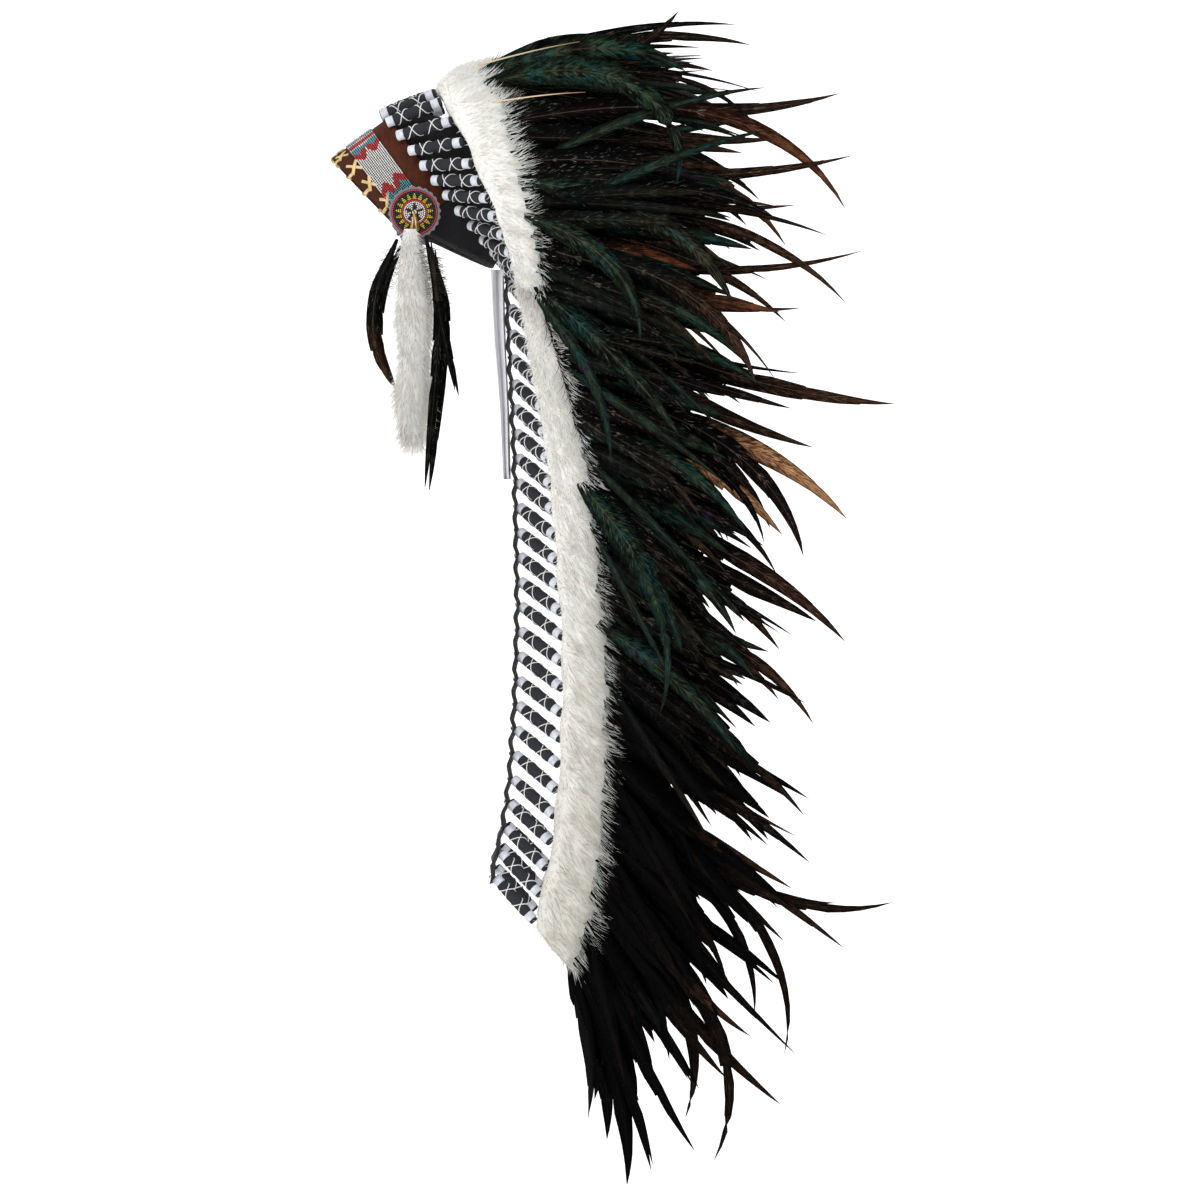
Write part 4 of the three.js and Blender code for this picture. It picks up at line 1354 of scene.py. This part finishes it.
def fur_ruff(pattern, finish):
    rows = ([], [], [], [])
    for quarter in range(-4 * CROWN_QUILLS - 1, 4 * CROWN_QUILLS + 2):
        fur_ring(rows, abs(quarter) / 4, -1 if quarter < 0 else 1)
    furred("crown_ruff", rows, ["crown_fur"], pattern, finish, FUR_DENSITY)
    for name, sign in SIDES:
        rows = ([], [], [], [])
        for station in np.arange(CROWN_QUILLS - 0.5, LAST + 0.01, 0.25):
            fur_ring(rows, float(station), sign)
        furred(f"trailer_ruff_{name}", rows, [f"trailer_fur_{name}"], pattern, finish,
               FUR_DENSITY)


def fur_drop(name, sign, pattern, finish):
    """The strip of fur that hangs from a rosette, tied in at its top."""
    rows = ([], [], [], [])
    top, length = -18.0, 212.0
    for t in np.linspace(0, 1, 34):
        full = min(1.0, 0.4 + 3.2 * t, 0.55 + 2.4 * (1 - t)) * (1 + 0.07 * math.sin(17 * t + 1))
        outer = ROSETTE_FACE + 4.0 + 6.0 * max(0.0, 1 - 6 * t)
        sway = -4.0 + 2.0 * math.sin(4.2 * t) + 1.5 * t
        points, lays, longs, thicks = [], [], [], []
        for angle in full_turn(16):
            c, s = math.cos(angle), math.sin(angle)
            lump = full * (1 + 0.08 * math.sin(2 * angle + 13 * t) + 0.05 * math.sin(5 * angle - 21 * t))
            points.append((sign * (outer + 5.0 * c * lump), sway + 14.0 * s * lump, top - length * t))
            lays.append((0.25 * c * sign, 0.42 * s + 0.14 * math.sin(23 * t), -1.0))
            longs.append(0.5 + 0.3 * t)
            thicks.append(1.0 + 0.8 * (t > 0.93))
        for kept, row in zip(rows, (points, lays, longs, thicks)):
            kept.append(row)
    return furred(f"drop_fur_{name}", rows, [f"fur_drop_{name}"], pattern, finish,
                  DROP_FUR_DENSITY)


# ---------------------------------------------------------------- feathers
# How far inside the ruff's edge the roots sit, their spread along the quills, and the seeds of the scatter
ROOTS = dict(body=8, body_spread=14, leading=12, bare=16, down=2)
BODY_SEED, LEADING_SEED = 900, 3000
VANE_SECTION = ((-1.0, 0.0), (-0.5, 0.55), (0.0, 1.5), (0.5, 0.55), (1.0, 0.0), (0.0, -0.7))


def bend(splay, droop, sign):
    """direction() for rows of angles."""
    a, b = np.radians(splay), np.radians(droop)
    return np.stack([sign * np.sin(a), np.cos(a) * np.cos(b), -np.cos(a) * np.sin(b)], -1)


def vane(stock, centre, ways, broad, reach, t, half, cast, seed):
    """A feather round its shaft: a thin ridged vane, whose edges are ragged and split."""
    flat = np.cross(ways, broad)
    widths = []
    for edge_side in (-1, 1):
        number = seed * 2 + edge_side
        rough = 0.04 + 0.14 * np.clip(t - 0.45, 0, 1)
        ragged = np.array([scatter(number + 3 * i, 9) for i in range(len(t))])
        share = 1 + 0.22 * scatter(number, 8) + rough * ragged
        for k in range(2):
            place, depth = split_at(number, k)
            after = t - place
            share = share * np.where((after > 0) & (after < 0.06), 1 - depth * (1 - after / 0.06), 1.0)
        widths.append(half * share)
    rings, wrap = [], []
    for across, rise in VANE_SECTION:
        wide = widths[0] if across < 0 else widths[1]
        sweep = 0.5 * abs(across) * wide
        place = (centre + broad * (across * wide)[:, None] + ways * sweep[:, None]
                 + flat * (rise * (0.35 + 0.1 * half / 10) - 0.16 * wide * abs(across) ** 1.6)[:, None])
        rings.append(place)
        wrap.append(np.stack([np.full(len(t), across), (t * reach + sweep) * MM], -1))
    rings, wrap = np.stack(rings, 1), np.stack(wrap, 1)
    loft(stock, rings, vane=wrap, cast=np.broadcast_to(cast, (*rings.shape[:2], 4)),
         tip=np.broadcast_to(t[:, None, None], (*rings.shape[:2], 1)))


def split_at(number, k):
    """Where an edge is split, and how deep."""
    return 0.3 + 0.62 * (scatter(number, 11 + k) + 0.5), 0.1 + 0.28 * (scatter(number, 14 + k) + 0.5)


def vane_steps(seed, rows=22):
    """Shares of the length, with close pairs where the vane splits."""
    t = list(np.linspace(0, 1, rows))
    for edge_side in (-1, 1):
        for k in range(2):
            place = split_at(seed * 2 + edge_side, k)[0]
            t += [place - 0.002, place + 0.002]
    return np.array(sorted(t))


def feather(stock, start, run, sign, fall, curl, splay, reach, width, roll, cast, seed, turned_out=0.4):
    """A feather from its root: it bends by curl along its length, and its flat is turned to the side."""
    t = vane_steps(seed)
    ways = bend(splay * (1 - 0.7 * t), fall + curl * t * t, sign)
    steps = np.diff(t, prepend=0)[:, None] * reach
    middles = np.concatenate([ways[:1], (ways[1:] + ways[:-1]) / 2])
    centre = start + np.cumsum(middles * steps, axis=0)
    broad = unit(run - ways * (ways @ run)[:, None])
    upright = unit(np.cross(ways, np.array([sign, 0.0, 0.0])))
    upright = upright * np.sign((upright * broad).sum(1))[:, None]
    broad = unit(broad * (1 - turned_out) + upright * turned_out)
    flat = np.cross(ways, broad)
    twist = np.radians(roll * (1 - 0.3 * t))[:, None]
    broad = broad * np.cos(twist) + flat * np.sin(twist)
    root = 0.25 + 0.75 * np.clip(t / 0.3, 0, 1) ** 0.8
    tip = (1 - np.clip((t - 0.38) / 0.625, 0, 1) ** 1.7) ** 0.9
    vane(stock, centre, ways, broad, reach, t, width / 2 * root * tip, cast, seed)


def body_cast(station, number):
    """How brown a feather is, how strong its painted green and purple sheen, and how bright its painted
    highlights: greener on the crown, near black low on the trailers.
    """
    low = float(np.clip((station - 22) / 6, 0, 1))
    roll = scatter(number, 21) + 0.5
    brown = 0.55 * (roll > 0.84) + 0.1 * (roll > 0.6)
    green_sheen = min(1.1, max(0.0, 1.9 * (scatter(number, 22) + 0.5) - 0.75)) * (1 - low)
    purple_sheen = (scatter(number, 23) > 0.3) * (1 - low)
    # light: how bright this feather's painted highlights are, fading low on the trailers.
    light = (0.4 + 1.1 * (scatter(number, 24) + 0.5)) * (1 - 0.96 * low)
    return np.array([brown * (1 - 0.9 * low), green_sheen, purple_sheen, light])


# Feathers gather in clumps of two quills. lean: how far clumps lean apart; feathers: the breadth, share of
# the reach and looseness of each feather of a quill
BUNDLE = dict(lean=25, feathers=((29, 0.55, 12), (21, 0.88, 9), (20, 0.78, 14), (18, 0.95, 16), (21, 0.7, 10),
                                 (12, 1.0, 44)))


def plumage(name, sign, finish):
    """The tail feathers of one side: clumps that fill the body, then the leading ones over them."""
    stock = Stock()
    for station in range(1 if sign < 0 else 0, LAST + 1):
        middle = station // 2 * 2 + 0.5
        together = BUNDLE["lean"] * (0.45 if station > 24 else 1.0) * scatter(station // 2, 31)
        for extra, (broad, reach, loose) in enumerate(BUNDLE["feathers"]):
            number = station * 7 + extra * 53 + BODY_SEED
            place = float(np.clip(middle + 0.8 * (station - middle) + 0.34 * scatter(number, 6), 0, LAST))
            root = root_line(place)
            at, way = beyond(place, sign, root - ROOTS["body"] + ROOTS["body_spread"] * scatter(number, 7))
            run = along(place, sign, root)
            across = unit(np.cross(run, way))
            start = at + across * (6 if station < 3 else 12) * scatter(number, 9)
            start[2] -= 14 * max(0.0, 1 - place / 3)
            lean = together + loose * scatter(number, 1) + 3 * scatter(number + sign, 32)
            if station < 4:
                lean = 0.6 * abs(lean)
            feather(stock, start, run, sign, read(PLUMAGE, place, "fall") + lean,
                    read(PLUMAGE, place, "curl") + 30 * scatter(number, 3) + (22 if extra == 3 else 0),
                    read(PLUMAGE, place, "splay") * (1 + 0.5 * scatter(number, 4)),
                    read(PLUMAGE, place, "reach") * (reach + 0.4 * scatter(number, 2)),
                    broad * (1 + 0.4 * scatter(number, 10)), 50 * scatter(number, 5),
                    body_cast(place, number), number)
    for i, (place, fall, curl, reach, width, splay, brown, green_sheen) in enumerate(LEADING):
        number = LEADING_SEED + i * 11 + sign
        at, way = beyond(place, sign, root_line(place) - ROOTS["leading"])
        run = along(place, sign, root_line(place))
        start = at + unit(np.cross(run, way)) * sign * 7
        if sign < 0:
            fall, curl, reach = fall + 6 + 10 * scatter(number, 1), curl * 0.8, reach * 0.86
        low = float(np.clip((place - 25) / 6, 0, 1))
        # light: how bright this feather's painted highlights are.
        light = (0.8 + 0.6 * scatter(number, 24)) * (1 - 0.85 * low)
        # purple: how strong the painted violet sheen is.
        purple_sheen = 0.8 * (scatter(number, 23) > 0.1) * green_sheen
        cast = np.array([brown * (1 - 0.45 * low), green_sheen * 1.15, purple_sheen, light])
        feather(stock, start, run, sign, fall, curl, splay, reach, width * 1.05, 16 * scatter(number, 5),
                cast, number, turned_out=0.75)
    return finish_piece(stock.build(f"plumage_{name}", [finish]), [f"feathers_{name}"])


def root_down(name, sign, pattern, finish):
    """Loose dark down at the feathers' roots; its core lies inside the outer edge of the ruff."""
    points, lays, longs, thicks = [], [], [], []
    turns = full_turn(6)
    for station in np.arange(0.4, LAST + 0.01, 0.4):
        core = FUR_START + read(RUFF, float(station), "width") + ROOTS["down"]
        at, way = beyond(float(station), sign, core)
        run = along(float(station), sign, core)
        across = unit(np.cross(run, way)) * sign
        points.append([at + way * math.cos(a) * 2.5 + across * math.sin(a) * 2.5 for a in turns])
        lays.append([way * 1.6 + run * 0.7 * math.sin(station * 5 + a) + across * 0.3 * math.sin(a)
                     for a in turns])
        longs.append([1.0 + 0.4 * math.sin(station * 3.1 + a) for a in turns])
        thicks.append([0.25 if CROWN_QUILLS - 2 < station < 22 else 1.0] * 6)
    return furred(f"root_down_{name}", (points, lays, longs, thicks), [], pattern, finish,
                  ROOT_DOWN_DENSITY, lift=0.0, spread=0.55, length=(14.0, 32.0))


def bare_shafts(finish):
    """Pale quill shafts that run bare over the crown's plumage."""
    stock = Stock()
    # station, side, turn below level, reach, how far it stands off the plumage
    rows = ((2.6, 0, -14, 112, 20), (4.3, 0, -7, 100, 24), (3.0, 1, -12, 88, 20), (6.2, 1, -4, 92, 20))
    for station, which, turn, reach, off in rows:
        sign = SIDES[which][1]
        at, way = beyond(station, sign, root_line(station) - ROOTS["bare"])
        run = along(station, sign, root_line(station))
        across = unit(np.cross(run, way)) * sign
        t = np.linspace(0, 1, 14)
        ways = bend(6 + read(PLUMAGE, station, "splay") * (1 - 0.5 * t), turn + 6 * t * t, sign)
        path = at + across * off + np.cumsum(ways * reach / 13, axis=0)
        tube(stock, path, 0.95 * (1 - 0.75 * t) + 0.12, 6, tip=np.tile(t[:, None, None], (1, 6, 1)))
    return finish_piece(stock.build("bare_shafts", [finish]))


# back and up, from the root to the tip
DROP_FEATHERS = (
    dict(outward=-10, width=14, path=((-17, -27), (-38, -80), (-40, -130), (-23, -172))),
    dict(outward=16, width=13.5, path=((12, -27), (25, -90), (22, -160), (11, -275))),
    dict(outward=20, width=6, path=((17, -30), (23, -87), (33, -140), (41, -179))),
)


def curve_through(path, t):
    """A smooth curve through its points, and its direction."""
    path = np.array([2 * np.array(path[0]) - path[1], *path, 2 * np.array(path[-1]) - path[-2]], float)
    last = len(path) - 4
    found = []
    for share in t:
        at = min(last, int(share * (last + 1)))
        u = share * (last + 1) - at
        a, b, c, d = path[at:at + 4]
        found.append(0.5 * (2 * b + (c - a) * u + (2 * a - 5 * b + 4 * c - d) * u**2
                            + (3 * b - a - 3 * c + d) * u**3))
    return np.array(found)


def drop_feathers(name, sign, finish, pattern, down):
    """Three feathers hung beside the strip of fur."""
    for i, row in enumerate(DROP_FEATHERS):
        stock = Stock()
        seed = 40 + i * 3 + (sign > 0)
        t = vane_steps(seed, 20)
        flat_path = curve_through(row["path"], t)
        x = sign * (ROSETTE_FACE + row["outward"] - 0.25 * (row["outward"] - 2) * (1 - t) ** 3)
        centre = np.stack([x + 2.0 * np.sin(5 * t + i), flat_path[:, 0], flat_path[:, 1]], -1)
        ways = unit(np.gradient(centre, t, axis=0))
        broad = unit(np.cross(ways, np.array([1.0, 0.25, 0.0])))
        reach = float(np.linalg.norm(np.diff(centre, axis=0), axis=1).sum())
        root = 0.25 + 0.75 * np.clip(t / 0.3, 0, 1)
        tip = (1 - np.clip((t - 0.4) / 0.605, 0, 1) ** 2.2) ** 0.7
        # cast: brown, painted green sheen, painted purple sheen, and painted-highlight brightness.
        cast = np.array([0.7 if i == 0 else 0.0, 0.1, 0.5 if i == 0 else 0.0, 0.9 - 0.2 * i])
        vane(stock, centre, ways, broad, reach, t, row["width"] / 2 * root * tip, cast, seed)
        piece = stock.build(f"drop_plume_{name}_{i + 1}", [finish])
        finish_piece(piece, [f"drop_feather_{name}_{i + 1}"])
        stock = Stock()
        tuft = centre[(t > 0.0) & (t < 0.36)]
        rings = [[p + (sign * 1.2 * math.cos(a), 2.0 * math.sin(a), 0) for a in full_turn(8)] for p in tuft]
        lays = [[(0.5 * math.cos(a), 1.3 * math.sin(a), -0.9) for a in full_turn(8)] for _ in tuft]
        ones = np.ones((len(tuft), 8))
        furred(f"drop_down_{name}_{i + 1}", (rings, lays, ones * (0.9 if i < 2 else 0.5), ones),
               [], pattern, down, DROP_DOWN_DENSITY, lift=0.2, spread=0.5,
               length=(8.0, 17.0))


# ---------------------------------------------------------------- ribbons
RIBBON = dict(width=24.0, length=209.0, top=-56.0, wall=0.5)
RIBBON_ROWS = table("at front back", [
    (-265, 88, 95), (-200, 85, 93.5), (-130, 79, 90), (-55, 75, 88),
])


def folded(span, width, phase, count=25):
    """Places across a ribbon that is gathered to a span: a wave whose own length is the ribbon's width."""
    u = np.linspace(0, 1, count)
    low, high = 0.0, 12.0
    for _ in range(50):
        deep = (low + high) / 2
        wave = deep * np.sin(2 * math.pi * 1.25 * u + phase)
        walked = np.hypot(np.diff(u * span), np.diff(wave)).sum()
        if walked < width:
            low = deep
        else:
            high = deep
    return u * span, wave - wave.mean()


def ribbon(name, sign, finish):
    """Grey satin, gathered along its length in soft folds."""
    stock = Stock()
    rings, weave, crease_shades = [], [], []
    rows, count = 64, 25
    for i in range(rows):
        t = i / (rows - 1)
        height = RIBBON["top"] - RIBBON["length"] * t
        front, back = read(RIBBON_ROWS, height, "front"), read(RIBBON_ROWS, height, "back")
        reach, wave = folded(back - front, RIBBON["width"], 0.6 + 1.3 * t + 0.25 * math.sin(9 * t), count)
        x = sign * (QUILL_X + 1.2 * math.sin(7 * t))
        front_row = [(x + w + RIBBON["wall"] / 2, front + r, height) for r, w in zip(reach, wave)]
        back_row = [(x + w - RIBBON["wall"] / 2, front + r, height) for r, w in zip(reach, wave)]
        rings.append(front_row + back_row[::-1])
        across = [u * RIBBON["width"] * MM for u in np.linspace(0, 1, count)]
        weave.append([(a, -t * RIBBON["length"] * MM) for a in across + across[::-1]])
        # deep: how far into a fold's crease each point lies, where the satin gets painted shade.
        deep = np.clip(-sign * wave / max(1e-6, np.abs(wave).max()), 0, 1)
        crease_shades.append([[d] for d in np.concatenate([deep, deep[::-1]])])
    loft(stock, rings, weave=weave, crease=crease_shades)
    piece = finish_piece(stock.build(f"satin_ribbon_{name}", [finish]), [f"ribbon_{name}"])
    return piece


# ---------------------------------------------------------------- all of it
def dress():
    black_felt = felt("black_felt", (0.006, 0.006, 0.007), (0.022, 0.022, 0.025))
    barrel_felt = felt("barrel_felt", (0.014, 0.015, 0.018), (0.04, 0.042, 0.05))
    grey_felt = felt("grey_felt", (0.11, 0.1, 0.12), (0.24, 0.225, 0.26))
    tan, web = lace(), webbing()
    brown_tie = thread("brown_thread", (0.09, 0.032, 0.012), (0.2, 0.075, 0.03), 0.75, 1200.0)
    white_tie = thread("white_thread", (0.62, 0.62, 0.62), (0.86, 0.86, 0.86), 0.7, 1400.0)
    glass, down, vanes = beads("glass_beads"), down_finish(), vane_finish()
    hair, drop_hair = fur_finish("white_fur", 0.86, 0.7), fur_finish("cream_fur", 0.72, 0.72)

    felt_cap(black_felt)
    cap_binding(web)
    suede_band(suede())
    lacing(tan)
    bead = bead_pattern()
    bead_panel(bead, glass, black_felt)
    quill_patterns = (barrel_pattern(), tape_pattern())
    quill_finishes = (barrel_felt, tape(), white_tie)
    crown = [quill(0, 1)]
    crown_nodes = ["crown_quill_0"]
    for name, sign in SIDES:
        crown += [quill(i, sign) for i in range(1, CROWN_QUILLS + 1)]
        crown_nodes += [f"crown_quill_{name}_{i}" for i in range(1, CROWN_QUILLS + 1)]
    wrapped_quills("crown_quills", crown, crown_nodes, quill_patterns, quill_finishes)

    white_hair, dark_hair = strand("white_hair", *HAIR["white"]), strand("dark_hair", *HAIR["dark"])
    fur_ruff(white_hair, hair)
    for name, sign in SIDES:
        rosette(name, sign, bead, glass, grey_felt, black_felt)
        thongs(name, sign, tan, brown_tie)
        strap(name, sign, web)
        quill_ties(name, sign, brown_tie)
        hung = [quill(i, sign) for i in HUNG]
        wrapped_quills(f"trailer_quills_{name}", hung, [], quill_patterns, quill_finishes)
        plumage(name, sign, vanes)
        root_down(name, sign, dark_hair, down)
        fur_drop(name, sign, white_hair, drop_hair)
        drop_feathers(name, sign, vanes, dark_hair, down)
        ribbon(name, sign, satin())
    bare_shafts(quill_finish())
    for pattern in (bead, white_hair, dark_hair, *quill_patterns):
        bpy.data.objects.remove(pattern)


studio()
dress()
